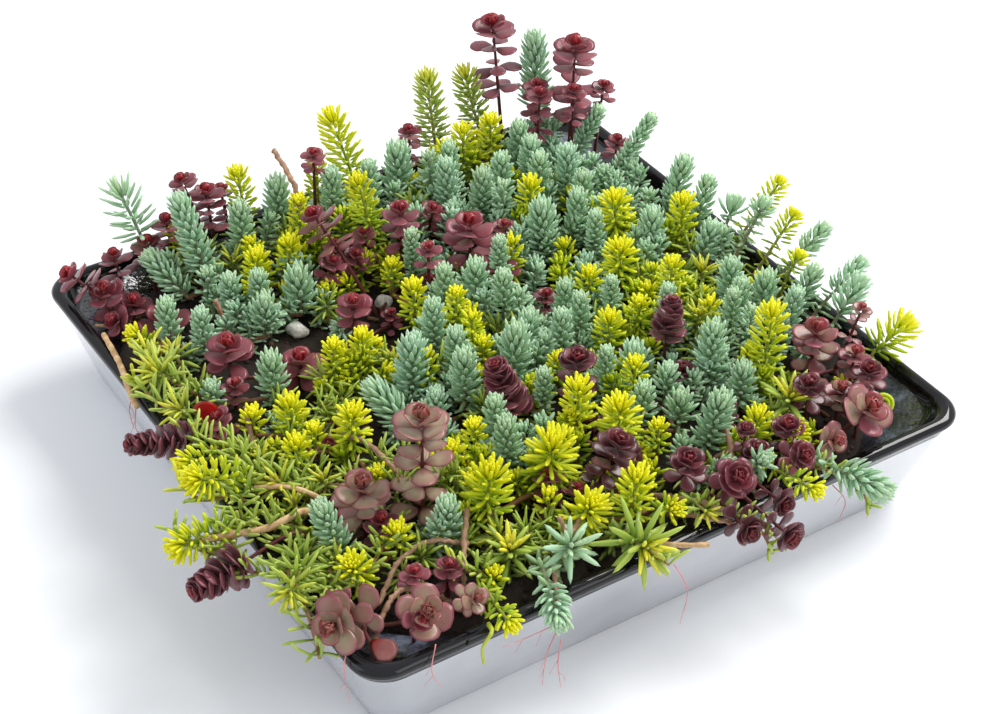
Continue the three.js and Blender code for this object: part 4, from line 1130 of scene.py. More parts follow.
class Finish:
    """A material, its colour so far, and short ways to add its nodes."""

    def __init__(self, name, grain=None, stops=()):
        self.material = bpy.data.materials.new(name)
        self.material.use_nodes = True
        self.tree = self.material.node_tree
        self.shader = self.tree.nodes["Principled BSDF"]
        self.place = self.tree.nodes.new("ShaderNodeTexCoord").outputs["Object"]
        if grain:
            self.pattern = self.noise(*grain)
            self.body = self.ramp(self.pattern, *stops)

    def feed(self, socket, value):
        """Gives a socket a value, or wires another node's output to it."""
        if hasattr(value, "links"):
            self.tree.links.new(value, socket)
        else:
            socket.default_value = value

    def node(self, kind, inputs, output, **settings):
        """Adds one node, feeds its inputs, and gives one of its outputs."""
        node = self.tree.nodes.new(kind)
        for key, value in settings.items():
            setattr(node, key, value)
        for key, value in inputs.items():
            self.feed(node.inputs[key], value)
        return node.outputs[output]

    def noise(self, scale, detail=3, rough=0.6):
        """A cloudy pattern with about this many clouds in a metre."""
        inputs = {"Scale": scale, "Detail": detail, "Roughness": rough, "Vector": self.place}
        return self.node("ShaderNodeTexNoise", inputs, "Fac")

    def ramp(self, source, *stops):
        """Colours that blend into each other as the source goes from 0 to 1."""
        node = self.tree.nodes.new("ShaderNodeValToRGB")
        elements = node.color_ramp.elements
        while len(elements) < len(stops):
            elements.new(0.5)
        for element, (at, colour) in zip(elements, stops):
            element.position = at
            element.color = tint(*colour)
        self.feed(node.inputs["Fac"], source)
        return node.outputs["Color"]

    def spread(self, source, low, high, top=1.0):
        """Goes from low to high as the source goes from 0 to top."""
        inputs = {"Value": source, "From Max": top, "To Min": low, "To Max": high}
        return self.node("ShaderNodeMapRange", inputs, "Result")

    def combine(self, operation, first, second):
        """The two values worked into one, kept between 0 and 1."""
        inputs = {0: first, 1: second}
        return self.node("ShaderNodeMath", inputs, 0, operation=operation, use_clamp=True)

    def times(self, first, second):
        return self.combine("MULTIPLY", first, second)

    def less(self, first, second):
        return self.combine("SUBTRACT", first, second)

    def layer(self, share, colour, blend="MIX"):
        """Lays a colour, or a ramp's output, over the colour so far."""
        colour = tint(*colour) if isinstance(colour, tuple) else colour
        inputs = {0: share, 6: self.body, 7: colour}
        self.body = self.node("ShaderNodeMix", inputs, 2, data_type="RGBA", blend_type=blend)

    def brighten(self, source, low, high, top=1.0):
        """Darkens or lightens the colour so far."""
        inputs = {"Value": self.spread(source, low, high, top), "Color": self.body}
        self.body = self.node("ShaderNodeHueSaturation", inputs, "Color")

    def marks(self):
        """The leaf marks: along the leaf, height on the shoot, own tone, nearness to the edge."""
        mark = self.tree.nodes.new("ShaderNodeAttribute")
        mark.attribute_name = "leaf"
        parts = self.tree.nodes.new("ShaderNodeSeparateColor")
        self.feed(parts.inputs["Color"], mark.outputs["Color"])
        return parts.outputs[0], parts.outputs[1], parts.outputs[2], mark.outputs["Alpha"]

    def done(self, rough, relief=None, rough_from=None, relief_from=None, **sockets):
        """rough is one value or (least, most), relief is (strength, depth), from a pattern."""
        shader = self.shader.inputs
        self.feed(shader["Base Color"], self.body)
        if isinstance(rough, tuple):
            rough = self.spread(rough_from or self.pattern, *rough)
        self.feed(shader["Roughness"], rough)
        if relief:
            strength, depth = relief
            source = relief_from or self.pattern
            inputs = {"Strength": strength, "Distance": depth, "Height": source}
            self.feed(shader["Normal"], self.node("ShaderNodeBump", inputs, "Normal"))
        for key, value in sockets.items():
            shader[SOCKETS[key]].default_value = value
        return self.material


# The relief of a leaf's skin: strength and depth
SKIN = (0.2, 0.0004)
SOFT_DEPTH = 0.0015


def needle_finish(name, old, low, high, bud, tip, tip_share, foot_shade, other, sheen, rough):
    """Older leaves low on the shoot, young ones at its top, a lighter tip, and a darker, greener
    foot: partly the leaf's own colour, partly painted shade where the leaves crowd the stem.
    """
    leaf = Finish(name)
    along, height, tone, _ = leaf.marks()
    leaf.body = tint(*old)
    young = leaf.times(leaf.combine("ADD", height, 0.25), 4)
    leaf.layer(young, leaf.ramp(height, (0, low), (0.55, high), (1, bud)))
    leaf.layer(leaf.times(leaf.less(tone, 0.35), 0.9), other)
    leaf.layer(leaf.times(leaf.combine("POWER", along, 2.2), tip_share), tip)
    # Painted shade: each leaf darkens towards its foot by this colour, which is partly also its
    # own greener base
    leaf.layer(leaf.times(leaf.less(0.55, along), 1.1), foot_shade, "MULTIPLY")
    leaf.brighten(tone, 0.86, 1.14)
    bloom = leaf.noise(420, 4)
    leaf.layer(leaf.times(bloom, 0.28), tip)
    return leaf.done((rough - 0.1, rough + 0.1), (0.25, 0.0004), bloom, leaf.noise(900, 2),
                     sheen=sheen, sheen_rough=0.4, soft=0.12, soft_depth=SOFT_DEPTH,
                     soft_reach=(0.6, 1.0, 0.35), specular=0.4)


def burgundy_finish():
    """A round leaf: dusty, brighter when young, with an olive heart and a pink rim."""
    leaf = Finish("burgundy_leaf")
    along, height, tone, edge = leaf.marks()
    leaf.body = leaf.ramp(height, (0, (102, 44, 56)), (0.55, (116, 36, 46)),
                          (0.8, (154, 26, 36)), (1, (126, 12, 20)))
    grown = leaf.times(leaf.less(0.85, height), 1.5)
    leaf.layer(leaf.times(leaf.noise(160, 3), grown), (154, 90, 98))
    olive = leaf.times(leaf.less(tone, 0.6), 2.8)
    heart = leaf.times(leaf.less(1.0, edge), olive)
    leaf.layer(leaf.times(heart, leaf.less(1.5, height)), (160, 150, 120))
    bud = leaf.times(leaf.less(height, 0.7), 3)
    leaf.layer(leaf.times(olive, bud), (104, 58, 38))
    leaf.layer(leaf.times(edge, leaf.less(0.5, leaf.times(height, 0.45))), (146, 62, 80))
    leaf.layer(leaf.times(leaf.less(0.45, along), 1.6), (110, 16, 22))
    leaf.brighten(tone, 0.4, 1.1, top=0.5)
    return leaf.done((0.22, 0.4), SKIN, leaf.noise(300, 3), leaf.noise(700, 2),
                     sheen=0.08, sheen_rough=0.5, soft=0.05, soft_depth=SOFT_DEPTH)


def stem_finish(kind, low, high):
    """A stem that is brown at its foot and takes its kind's colour towards the leaves."""
    stem = Finish(f"{kind}_stonecrop_stem")
    height = stem.marks()[1]
    stem.body = stem.ramp(height, (0.1, low), (0.75, high))
    rings = stem.noise(260, 6, 0.7)
    stem.layer(stem.times(rings, 0.75), (120, 74, 56), "MULTIPLY")
    return stem.done((0.45, 0.75), (0.6, 0.0006), rings, rings)


def wall_painted_reflection_finish():
    """Pale grey with cloudy patches and fine specks: painted reflection of the pale floor on the
    black gloss of the outer wall.
    """
    wall = Finish("wall_with_painted_floor_reflection", (9, 3, 0.5),
                  [(0.3, (158, 160, 166)), (0.5, (190, 192, 197)), (0.7, (214, 216, 220))])
    specks = wall.noise(420, 2)
    wall.layer(wall.times(specks, 0.16), (150, 152, 158))
    return wall.done((0.1, 0.22), (0.25, 0.003), specks, wall.noise(26, 3, 0.5),
                     coat=0.3, coat_rough=0.05)


def soil_finish():
    """Dark crumble with lighter crumbs."""
    soil = Finish("moist_potting_soil", (140, 6, 0.75),
                  [(0.3, (10, 7, 6)), (0.55, (28, 20, 15)), (0.8, (62, 45, 33))])
    fine = soil.noise(900, 3, 0.7)
    soil.layer(soil.times(fine, 0.16), (104, 78, 56))
    soil.layer(soil.times(soil.marks()[2], 0.7), (112, 84, 62))
    return soil.done((0.8, 1), (0.8, 0.001), fine, fine)


def wood_finish():
    """Old brown stems, some of them greyer."""
    wood = Finish("old_brown_stem", (300, 6, 0.75),
                  [(0.3, (104, 66, 50)), (0.5, (164, 120, 96)), (0.7, (210, 174, 144))])
    wood.layer(wood.times(wood.marks()[2], 0.4), (150, 128, 96))
    return wood.done((0.5, 0.85), (0.7, 0.001))


def make_finishes():
    """All finishes by the short names that the pieces ask for."""
    glaze = Finish("black_gloss_glaze", (26, 3, 0.5), [(0.3, (8, 8, 10)), (0.75, (20, 21, 25))])
    # Black glaze on the inner slopes, with bluish-grey streaks painted in as a reflection of the
    # sky
    inner = Finish("inner_glaze_with_painted_sky_reflection", (30, 5, 0.65),
                   [(0.42, (8, 8, 11)), (0.53, (44, 48, 60)), (0.66, (122, 130, 150))])
    bark = Finish("bark_chip", (300, 5, 0.7), [(0.3, (70, 44, 28)), (0.7, (150, 108, 74))])
    grit = Finish("white_perlite", (500, 4), [(0.3, (222, 214, 200)), (0.6, (252, 250, 244))])
    root = Finish("hair_root", (200, 2), [(0.3, (196, 108, 112)), (0.7, (226, 150, 150))])
    straw = Finish("cut_tan_stem", (240, 5, 0.7),
                   [(0.3, (146, 108, 70)), (0.5, (194, 158, 114)), (0.7, (222, 194, 152))])
    scarlet = Finish("scarlet_leaf", (150, 3), [(0.3, (150, 12, 14)), (0.7, (206, 26, 22))])
    coral = Finish("coral_leaf", (120, 3), [(0.35, (118, 60, 58)), (0.65, (158, 100, 94))])
    coral.layer(coral.times(coral.less(0.42, coral.marks()[0]), 3), (128, 16, 16))
    return {
        "blue": needle_finish(
            "glaucous_blue_green_leaf", old=(138, 174, 108), low=(154, 196, 150),
            high=(164, 206, 164), bud=(186, 212, 166), tip=(196, 216, 188), tip_share=0.4,
            foot_shade=(204, 224, 196), other=(152, 190, 176), sheen=0.14, rough=0.6),
        "yellow": needle_finish(
            "lime_yellow_leaf", old=(74, 132, 28), low=(108, 166, 24), high=(212, 218, 12),
            bud=(234, 226, 8), tip=(240, 238, 44), tip_share=0.35, foot_shade=(150, 206, 80),
            other=(214, 206, 14), sheen=0.02, rough=0.45),
        "green": needle_finish(
            "green_leaf", old=(98, 136, 44), low=(134, 166, 54), high=(164, 190, 62),
            bud=(236, 224, 22), tip=(200, 208, 112), tip_share=0.3, foot_shade=(160, 196, 100),
            other=(158, 164, 80), sheen=0.02, rough=0.4),
        "red": burgundy_finish(),
        "blue_stem": stem_finish("blue", (158, 118, 84), (140, 168, 130)),
        "yellow_stem": stem_finish("yellow", (168, 120, 78), (160, 176, 50)),
        "green_stem": stem_finish("green", (186, 138, 92), (176, 178, 92)),
        "red_stem": stem_finish("red", (116, 58, 46), (100, 24, 30)),
        "glaze": glaze.done((0.04, 0.12), (0.3, 0.003), glaze.noise(260, 2),
                            ior=1.5, specular=0.4),
        "inner": inner.done((0.08, 0.3), (0.8, 0.005), ior=1.8, coat=0.3, coat_rough=0.05),
        "wall": wall_painted_reflection_finish(),
        "soil": soil_finish(),
        "bark": bark.done((0.7, 0.95), (0.7, 0.001)),
        "grit": grit.done((0.7, 0.95), (0.8, 0.001)),
        "root": root.done(0.6),
        "straw": straw.done((0.5, 0.85), (0.5, 0.0008)),
        "wood": wood_finish(),
        "scarlet": scarlet.done((0.25, 0.42), SKIN, relief_from=scarlet.noise(700, 2)),
        "coral": coral.done((0.3, 0.45), SKIN, relief_from=coral.noise(700, 2)),
    }


# ---- the dish and the soil ----

# The dish, in millimetres, beside the sizes that it shares with the solids
DISH_CORNER = 12.6
CORNER_SEGMENTS = 10
WALL_TOP = 37.5
LIP_ROUND = 2.6
LIP_STEPS = 10
# How far round the lip rolls, in degrees
LIP_START, LIP_TURN = -35, 215
# Where the inner wall bends, and how far it leans out for each millimetre above that
BEND_HEIGHT_INSIDE = 22
BEND_HALF = FLOOR_HALF + 6
WALL_LEAN = 0.47
# The dish's corners widen inside to broad shallow slopes: radii from the lip to the floor
INNER_CORNERS = (24, 38, 52, 66, 56, 52)
# The soil falls away in the corners: from where, over how far and by how much
CORNER_START = 211
CORNER_RUN = 27
CORNER_DROP = 20
SOIL_GRID = 150
SOIL_EDGE = 6
SOIL_SUNK = 0.6
# Broad humps, lumps and crumbs: width, layer of the noise, and height
SOIL_RELIEF = [(42, 3.1, 2.2), (9, 7.7, 1.5), (3.4, 1.3, 1.0)]


def dish_profile():
    """The dish's section from its foot over the lip to the floor, as half widths and heights."""
    foot, under = FOOT_HALF + 1.2, RIM_TOP - LIP_DROP
    profile = [(FOOT_HALF + 0.5, 0.4), (foot, 1.4)]
    for part in (0.33, 0.66, 0.94, 1):
        profile.append((foot + (RIM_HALF - 3 - FOOT_HALF) * part, 1.4 + (under - 1.4) * part))
    for step in range(LIP_STEPS + 1):
        angle = math.radians(LIP_START + LIP_TURN * step / LIP_STEPS)
        half = RIM_HALF - LIP_WIDTH / 2 + LIP_WIDTH / 2 * math.cos(angle)
        profile.append((half, RIM_TOP - LIP_ROUND + LIP_ROUND * math.sin(angle)))
    inside = RIM_HALF - LIP_WIDTH
    profile += [(inside - 0.5, under), (inside - 1.6, under - 1.2), (inside - 3.2, under - 4)]
    profile += [(BEND_HALF, BEND_HEIGHT_INSIDE), (FLOOR_HALF + 1, FLOOR_TOP + 2),
                (FLOOR_HALF - 1, FLOOR_TOP)]
    return profile


def widen_corners(dish, rings):
    """Rounds the inner rings of the dish more than the lip."""
    ring_size = len(dish.data.vertices) // (rings + 1)
    for step, radius in enumerate(INNER_CORNERS):
        first = (rings - len(INNER_CORNERS) + 1 + step) * ring_size
        ring = [dish.data.vertices[i] for i in range(first, first + ring_size)]
        half = max(abs(vertex.co.x) for vertex in ring)
        narrow = DISH_CORNER * half / FOOT_HALF
        wide = radius * MM
        for vertex in ring:
            past = [max(abs(vertex.co[axis]) - (half - narrow), 0) for axis in (0, 1)]
            way = math.atan2(past[1], past[0])
            for axis, share in ((0, math.cos(way)), (1, math.sin(way))):
                place = half - wide + wide * share
                vertex.co[axis] = math.copysign(place, vertex.co[axis])


def make_dish(finishes):
    """The dish, drawn up ring by ring from its foot, over the rolled lip and down inside."""
    deselect_all()
    bpy.ops.mesh.primitive_plane_add(size=2 * FOOT_HALF * MM)
    dish = named("glazed_dish")
    start_edit()
    bpy.ops.mesh.bevel(offset=DISH_CORNER * MM, segments=CORNER_SEGMENTS, affect="VERTICES")
    profile = dish_profile()
    half, height = FOOT_HALF, 0
    for next_half, next_height in profile:
        extrude_ring((next_height - height) * MM, next_half / half)
        half, height = next_half, next_height
    end_edit()
    widen_corners(dish, len(profile))
    start_edit()
    bpy.ops.mesh.normals_make_consistent(inside=False)
    end_edit()
    bpy.ops.object.shade_smooth_by_angle(angle=math.radians(50))
    for finish in ("glaze", "wall", "inner"):
        dish.data.materials.append(finishes[finish])
    # The outer wall below the lip takes the pale grey colour, a painted reflection of the pale
    # floor on the black glaze
    for face in dish.data.polygons:
        middle = face.center
        outwards = middle.x * face.normal.x + middle.y * face.normal.y > 0
        if outwards and 0 < middle.z < WALL_TOP * MM:
            face.material_index = 1
        # The inner slopes take the black glaze with the painted sky reflection
        elif not outwards and 0 < middle.z < (RIM_TOP - LIP_DROP) * MM:
            face.material_index = 2
    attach(dish, "root")
    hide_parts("dish")


def corner_fall(x, y):
    """How far the soil falls away towards a corner of the dish."""
    part = clamp((abs(x) + abs(y) - CORNER_START) / CORNER_RUN, 0, 1)
    return CORNER_DROP * part * part * (3 - 2 * part)


def soil_height(x, y):
    """The height of the crumbly soil, in millimetres."""
    level = SOIL_TOP - SOIL_SUNK
    for width, layer, height in SOIL_RELIEF:
        level += noise.noise(Vector((x / width, y / width, layer))) * height
    return level - corner_fall(x, y)


def inside_wall(height):
    """How far from the middle the dish's inner wall stands at a height."""
    return BEND_HALF + (height - BEND_HEIGHT_INSIDE) * WALL_LEAN


def make_soil(finish):
    """The bed of soil: a crumbly sheet, closed below by a skirt and a flat underside."""
    half = FLOOR_HALF + 13.2
    deselect_all()
    bpy.ops.mesh.primitive_grid_add(x_subdivisions=SOIL_GRID, y_subdivisions=SOIL_GRID,
                                    size=2 * half * MM)
    soil = named("crumbly_soil")
    for vertex in soil.data.vertices:
        x, y = vertex.co.x / MM, vertex.co.y / MM
        fade = clamp((half - max(abs(x), abs(y))) / SOIL_EDGE, 0, 1)
        edge_level = SOIL_TOP - 2.4 - corner_fall(x, y)
        level = edge_level + (soil_height(x, y) - edge_level) * fade
        most = min(half, inside_wall(level) + 0.6)
        vertex.co = (clamp(x, -most, most) * MM, clamp(y, -most, most) * MM, level * MM)
    start_edit()
    bpy.ops.mesh.select_all(action="DESELECT")
    bpy.ops.mesh.select_mode(type="EDGE")
    bpy.ops.mesh.select_non_manifold()
    bpy.ops.mesh.extrude_region_move(TRANSFORM_OT_translate={"value": (0, 0, -MM)})
    bpy.ops.transform.resize(value=((FLOOR_HALF - 1) / half, (FLOOR_HALF - 1) / half, 0))
    end_edit()
    for vertex in soil.data.vertices:
        if vertex.select:
            vertex.co.z = SOIL_BOTTOM * MM
    bpy.ops.object.mode_set(mode="EDIT")
    bpy.ops.mesh.edge_face_add()
    bpy.ops.mesh.select_mode(type="VERT")
    bpy.ops.mesh.select_all(action="SELECT")
    bpy.ops.mesh.normals_make_consistent(inside=False)
    end_edit()
    bpy.ops.object.shade_smooth_by_angle(angle=math.radians(60))
    soil.data.materials.append(finish)
    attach(soil, "root")
    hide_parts("soil")


def lump_template(subdivisions, seed, uneven=0.55):
    """A small lump with uneven sides, a little flat."""
    deselect_all()
    bpy.ops.mesh.primitive_ico_sphere_add(subdivisions=subdivisions, radius=0.5)
    lump = bpy.context.object
    for vertex in lump.data.vertices:
        vertex.co *= 1 + uneven * noise.noise(vertex.co * 2.1 + Vector((seed, 0, 0)))
        vertex.co.z *= 0.8
    return as_template(lump)


def bark_template():
    """A flat splinter of bark, uneven and a little bent."""
    deselect_all()
    bpy.ops.mesh.primitive_cube_add(size=1)
    chip = bpy.context.object
    start_edit()
    bpy.ops.transform.resize(value=(0.35, 1, 0.16))
    bpy.ops.mesh.subdivide(number_cuts=2)
    end_edit()
    for vertex in chip.data.vertices:
        vertex.co.z += 0.12 * vertex.co.y ** 2
        vertex.co += Vector((0.06, 0.03, 0.03)) * noise.noise(vertex.co * 5)
    return as_template(chip)


def scatter(growth, template, places, draw, finish, sunk, flat=False):
    """Copies of one lump on the soil, each turned its own way and lighter or darker."""
    points, faces = template
    for x, y, width in places:
        turn = Matrix.Rotation(draw.random() * 6.3, 3, "Z")
        tip = draw.gauss(0, 0.3) if flat else draw.random() * 6.3
        turn = turn @ Matrix.Rotation(tip, 3, "X")
        middle = [x, y, soil_height(x, y) + sunk(width)]
        marks = np.zeros((len(points), 4))
        marks[:, 2] = draw.random() ** 3
        growth.take(points @ np.array(turn).T * width + middle, faces, marks, finish)


# ---- undergrowth ----

# Bare soil or bare dish between the plants: middle and radius, in millimetres
BARE_PATCHES = [
    (-24, 40, 17), (-35, 22, 9), (112, 88, 16), (-118, 98, 22), (-128, 118, 26), (124, -118, 24),
    (-122, -128, 18), (-60, 53, 12), (-17, 58, 10), (-112, -6, 9), (-66, -112, 8), (-2, -124, 8),
]
# How far apart the sprigs stand, and how far each is shifted and leans
SPRIG_STEP = 8.6
SPRIG_SHIFT = 3.6
SPRIG_LEAN = 4
# The least room between a sprig and the foot of a shoot
LEAST_ROOM = 3.8
# A sprig ends this far below its neighbours' tips, usually at these heights, or isn't there
SPRIG_BELOW = (8, 19)
SPRIG_TOPS = (45, 66)
LOWEST_SPRIG = 42
SPRIG_WIDTH = (11, 14)
LEGGY_WIDTH = 1.5
SPRIG_LEAFY = (7, 20)
FARTHEST_TIP = 126
# How young a sprig looks, and the share of those that aren't fully young
SPRIG_YOUTH, YOUNGEST = (0.1, 0.65), 0.95
OLDER_SHARE = 0.8
# The share of the places that stay bare, at the front and left, and elsewhere
BARE_FRONT, BARE_ELSEWHERE = 0.4, 0.15
# The share of leggy green sprigs, where the carpet is thin and elsewhere; above and below
# which chance a sprig is red beside reds, or of the nearest neighbour's kind
GREEN_WHERE_THIN, GREEN_ELSEWHERE = 0.6, 0.12
RED_ABOVE, NEAREST_BELOW = 0.93, 0.8
# How far out from a red head its leaves cover a sprig, and how far it stays below them
COVER_OUT, COVER_BELOW = 6, 5
# A red head that leans less than this is taken as upright
LEAST_LEAN = 3

# More heads that stand between the others, by kind: tip x, y and z, width and leafy length
HEADS_BETWEEN = {
    "red": [
        (-104, 28, 52, 12, 10), (32, 6, 58, 12, 10), (122, 80, 66, 14, 16), (34, 121, 78, 13, 16),
        (-96, 124, 63, 14, 14), (-124, 110, 56, 15, 16), (-66, 126, 78, 14, 20),
        (-57, 131, 72, 14, 18), (-86, 125, 70, 13, 16), (-113, 104, 50, 14, 10),
        (-128, 98, 47, 13, 9), (-20, 112, 88, 12, 14), (96, 110, 88, 15, 18),
        (104, 92, 92, 13, 16), (124, 96, 86, 12, 12), (60, -120, 62, 15, 12),
        (82, -106, 64, 15, 12), (99, -118, 60, 16, 12), (110, -110, 62, 15, 12),
        (44, -122, 58, 13, 10), (26, -134, 58, 14, 10), (-112, -132, 56, 14, 12),
        (-142, -108, 56, 14, 12), (-98, -78, 58, 15, 12),
    ],
    "blue": [
        (29, 95, 80, 13, 22), (47, 63, 76, 13, 22), (83, 38, 70, 12, 20), (-84, 92, 60, 12, 18),
        (-40, 48, 60, 12, 18), (-72, -4, 56, 11, 14), (10, -25, 64, 12, 18), (17, 4, 66, 12, 18),
        (-83, -77, 54, 11, 12), (-18, -107, 54, 12, 12), (4, -117, 54, 12, 12),
        (90, -59, 68, 13, 18),
    ],
    "yellow": [
        (32, 33, 70, 13, 16), (-38, -12, 67, 12, 16), (-12, -5, 71, 12, 16),
        (79, -45, 68, 13, 16), (41, 102, 78, 13, 18), (-39, -101, 60, 13, 14),
        (62, -95, 60, 13, 14), (26, -124, 54, 12, 12), (-76, -122, 54, 12, 12),
    ],
    "green": [(-119, -49, 56, 18, 14), (-122, -84, 54, 18, 14)],
}


def under_reds(x, y, reds):
    """How high a sprig may stand where it comes under the round leaves of a red shoot."""
    roof = math.inf
    for red in reds:
        run = minus(red.knee, red.tip)
        flat = run[0] ** 2 + run[1] ** 2
        part = 1
        if flat > LEAST_LEAN ** 2:
            part = clamp(((x - red.tip[0]) * run[0] + (y - red.tip[1]) * run[1]) / flat, 0, 1)
        off = math.hypot(red.tip[0] + run[0] * part - x, red.tip[1] + run[1] * part - y)
        if off < red.width / 2 + COVER_OUT:
            roof = min(roof, red.tip[2] + run[2] * part - COVER_BELOW)
    return roof


def kind_between(x, y, near, chance):
    """The kind of a sprig: its neighbours', but leggy green where the carpet thins out."""
    thin = (x < -62 and y < 45) or (y < -92 and x < 40)
    if chance < (GREEN_WHERE_THIN if thin else GREEN_ELSEWHERE):
        return "green"
    if chance > RED_ABOVE and "red" in [shoot.kind for shoot in near]:
        return "red"
    kinds = [shoot.kind for shoot in near if shoot.kind != "red"] or ["green"]
    return kinds[0] if chance < NEAREST_BELOW else kinds[-1]


class Undergrowth:
    """Short sprigs of the same four kinds, which fill the ground between the tall shoots."""

    def __init__(self, clumps, templates):
        self.shoots = [shoot for grown, _ in clumps.values() for shoot in grown]
        self.reds = [shoot for shoot in self.shoots if shoot.kind == "red"]
        self.templates = templates
        self.draw = random.Random(SPRIGS_SEED)
        self.growths = {}

    def plant(self, kind, row, youth):
        """Grows one head or sprig in the piece of its quarter of the dish."""
        sprig = Shoot(kind, row, 0)
        sprig.sprig, sprig.youth = True, youth
        if kind == "red" and youth == 1:
            self.reds.append(sprig)
        depth = "back" if row[6] > 0 else "front"
        quarter = f"{kind}_undergrowth_{depth}_{'right' if row[5] > 0 else 'left'}"
        growth = self.growths.setdefault(quarter, (kind, Growth()))[1]
        grow_shoot(growth, sprig, self.templates, self.draw)

    def add_heads(self):
        """The heads between, unless a red head covers them."""
        for kind, heads in HEADS_BETWEEN.items():
            for head in heads:
                x, y, z = head[:3]
                if kind == "red" or under_reds(x, y, self.reds) > z:
                    foot = [clamp(value, -FOOT_LIMIT, FOOT_LIMIT) for value in (x, y)]
                    self.plant(kind, (*head, *foot), 1)

    def distance(self, shoot, x, y):
        """How far the middle between a shoot's foot and its knee is from a place."""
        return math.hypot((shoot.foot[0] + shoot.knee[0]) / 2 - x,
                          (shoot.foot[1] + shoot.knee[1]) / 2 - y)

    def add_sprig(self, x, y):
        """One sprig near a place, unless it is left bare there."""
        draw = self.draw
        x += draw.uniform(-SPRIG_SHIFT, SPRIG_SHIFT)
        y += draw.uniform(-SPRIG_SHIFT, SPRIG_SHIFT)
        chance = draw.random()
        lean = (draw.gauss(0, SPRIG_LEAN), draw.gauss(0, SPRIG_LEAN))
        if reach((x, y)) > FOOT_LIMIT or abs(x) + abs(y) > CORNER_START + 4:
            return
        if draw.random() < (BARE_FRONT if y < -70 or x < -75 else BARE_ELSEWHERE):
            return
        if any(math.hypot(x - bare_x, y - bare_y) < radius
               for bare_x, bare_y, radius in BARE_PATCHES):
            return
        near = sorted(self.shoots, key=lambda shoot: self.distance(shoot, x, y))[:4]
        if math.hypot(near[0].foot[0] - x, near[0].foot[1] - y) < LEAST_ROOM:
            return
        kind = kind_between(x, y, near, chance)
        roof = sum(shoot.tip[2] for shoot in near) / len(near)
        top = clamp(roof - draw.uniform(*SPRIG_BELOW), *SPRIG_TOPS)
        top = min(top, under_reds(x, y, self.reds))
        if top < LOWEST_SPRIG:
            return
        width = draw.uniform(*SPRIG_WIDTH) * (LEGGY_WIDTH if kind == "green" else 1)
        tip = [clamp(place + way, -FARTHEST_TIP, FARTHEST_TIP)
               for place, way in ((x, lean[0]), (y, lean[1]))]
        leafy = clamp(top - SOIL_TOP - 4, *SPRIG_LEAFY)
        youth = draw.uniform(*SPRIG_YOUTH) if draw.random() < OLDER_SHARE else YOUNGEST
        self.plant(kind, (*tip, top, width, leafy, x, y), youth)

    def make(self, finishes):
        """All heads and sprigs, one piece for each kind and quarter of the dish."""
        self.add_heads()
        steps = int(2 * FOOT_LIMIT / SPRIG_STEP) + 1
        for row in range(steps):
            for place in range(steps):
                self.add_sprig(-FOOT_LIMIT + place * SPRIG_STEP, -FOOT_LIMIT + row * SPRIG_STEP)
        for name, (kind, growth) in self.growths.items():
            growth.piece(name, [finishes[kind], finishes[kind + "_stem"]],
                         f"{kind}_stonecrop")


# ---- stems, roots and single leaves by themselves ----

# Cut stems that lie over the carpet and the lip: radius, then the points of the way
CUT_STEMS = [
    (1.25, (-134, 88, 47.2), (-137, 66, 48.0), (-141, 48, 47.6), (-142.5, 38, 46.8)),
    (0.9, (-131, 105, 39.5), (-122, 101, 38.4)),
    (0.9, (-119, 101, 38.6), (-111, 103, 38.2)),
    (1.45, (-158, -52, 53.5), (-147, -56, 54), (-134, -60, 54.5), (-120, -57, 53),
     (-111, -51, 42)),
    (1.0, (-129, -37, 54), (-118, -45, 55), (-110, -54, 52), (-106, -58, 42)),
    (1.0, (-16, -127, 42), (-9, -141, 47.8), (1, -148, 48.5)),
]
# Old bare stems in the carpet
OLD_STEMS = [
    (0.95, (-128, -121, 34), (-122, -117, 46), (-111, -111, 51), (-100, -112, 48),
     (-91, -116, 40)),
    (1.0, (-90, -120, 38), (-84, -113, 48), (-77, -102, 54), (-69, -92, 57)),
    (0.95, (-116, -106, 44), (-102, -97, 50), (-88, -96, 53), (-75, -102, 50)),
    (1.0, (-84, -22, 50), (-80, -38, 54), (-78, -56, 52), (-74, -64, 42)),
    (1.1, (36, -120, 47), (41, -107, 54), (42, -101, 53), (42, -97, 42)),
    (0.95, (34, -105, 42), (40, -111, 50), (46, -116, 51), (57, -119, 44)),
    (1.15, (4, -109, 42), (10, -129, 51), (17, -142, 51), (28, -151, 46)),
    (0.95, (-3, -116, 42), (6, -133, 49), (17, -142, 47)),
    (0.85, (-50, -116, 40), (-57, -132, 49), (-63, -142, 48.5), (-67, -150, 45)),
    (0.95, (-90, 71, 58), (-88, 69, 48), (-89, 66, 36)),
    (1.1, (-34, 122, 86), (-35, 102, 79), (-34, 98, 62)),
    (0.8, (-20, -109, 44), (-31, -114, 53), (-44, -122, 56), (-47, -119, 63)),
    (0.9, (-104, -36, 42), (-96, -56, 52), (-99, -76, 48)),
    (1.1, (-109, 8, 53), (-112, 1, 51), (-116, -13, 47), (-117, -22, 38)),
]
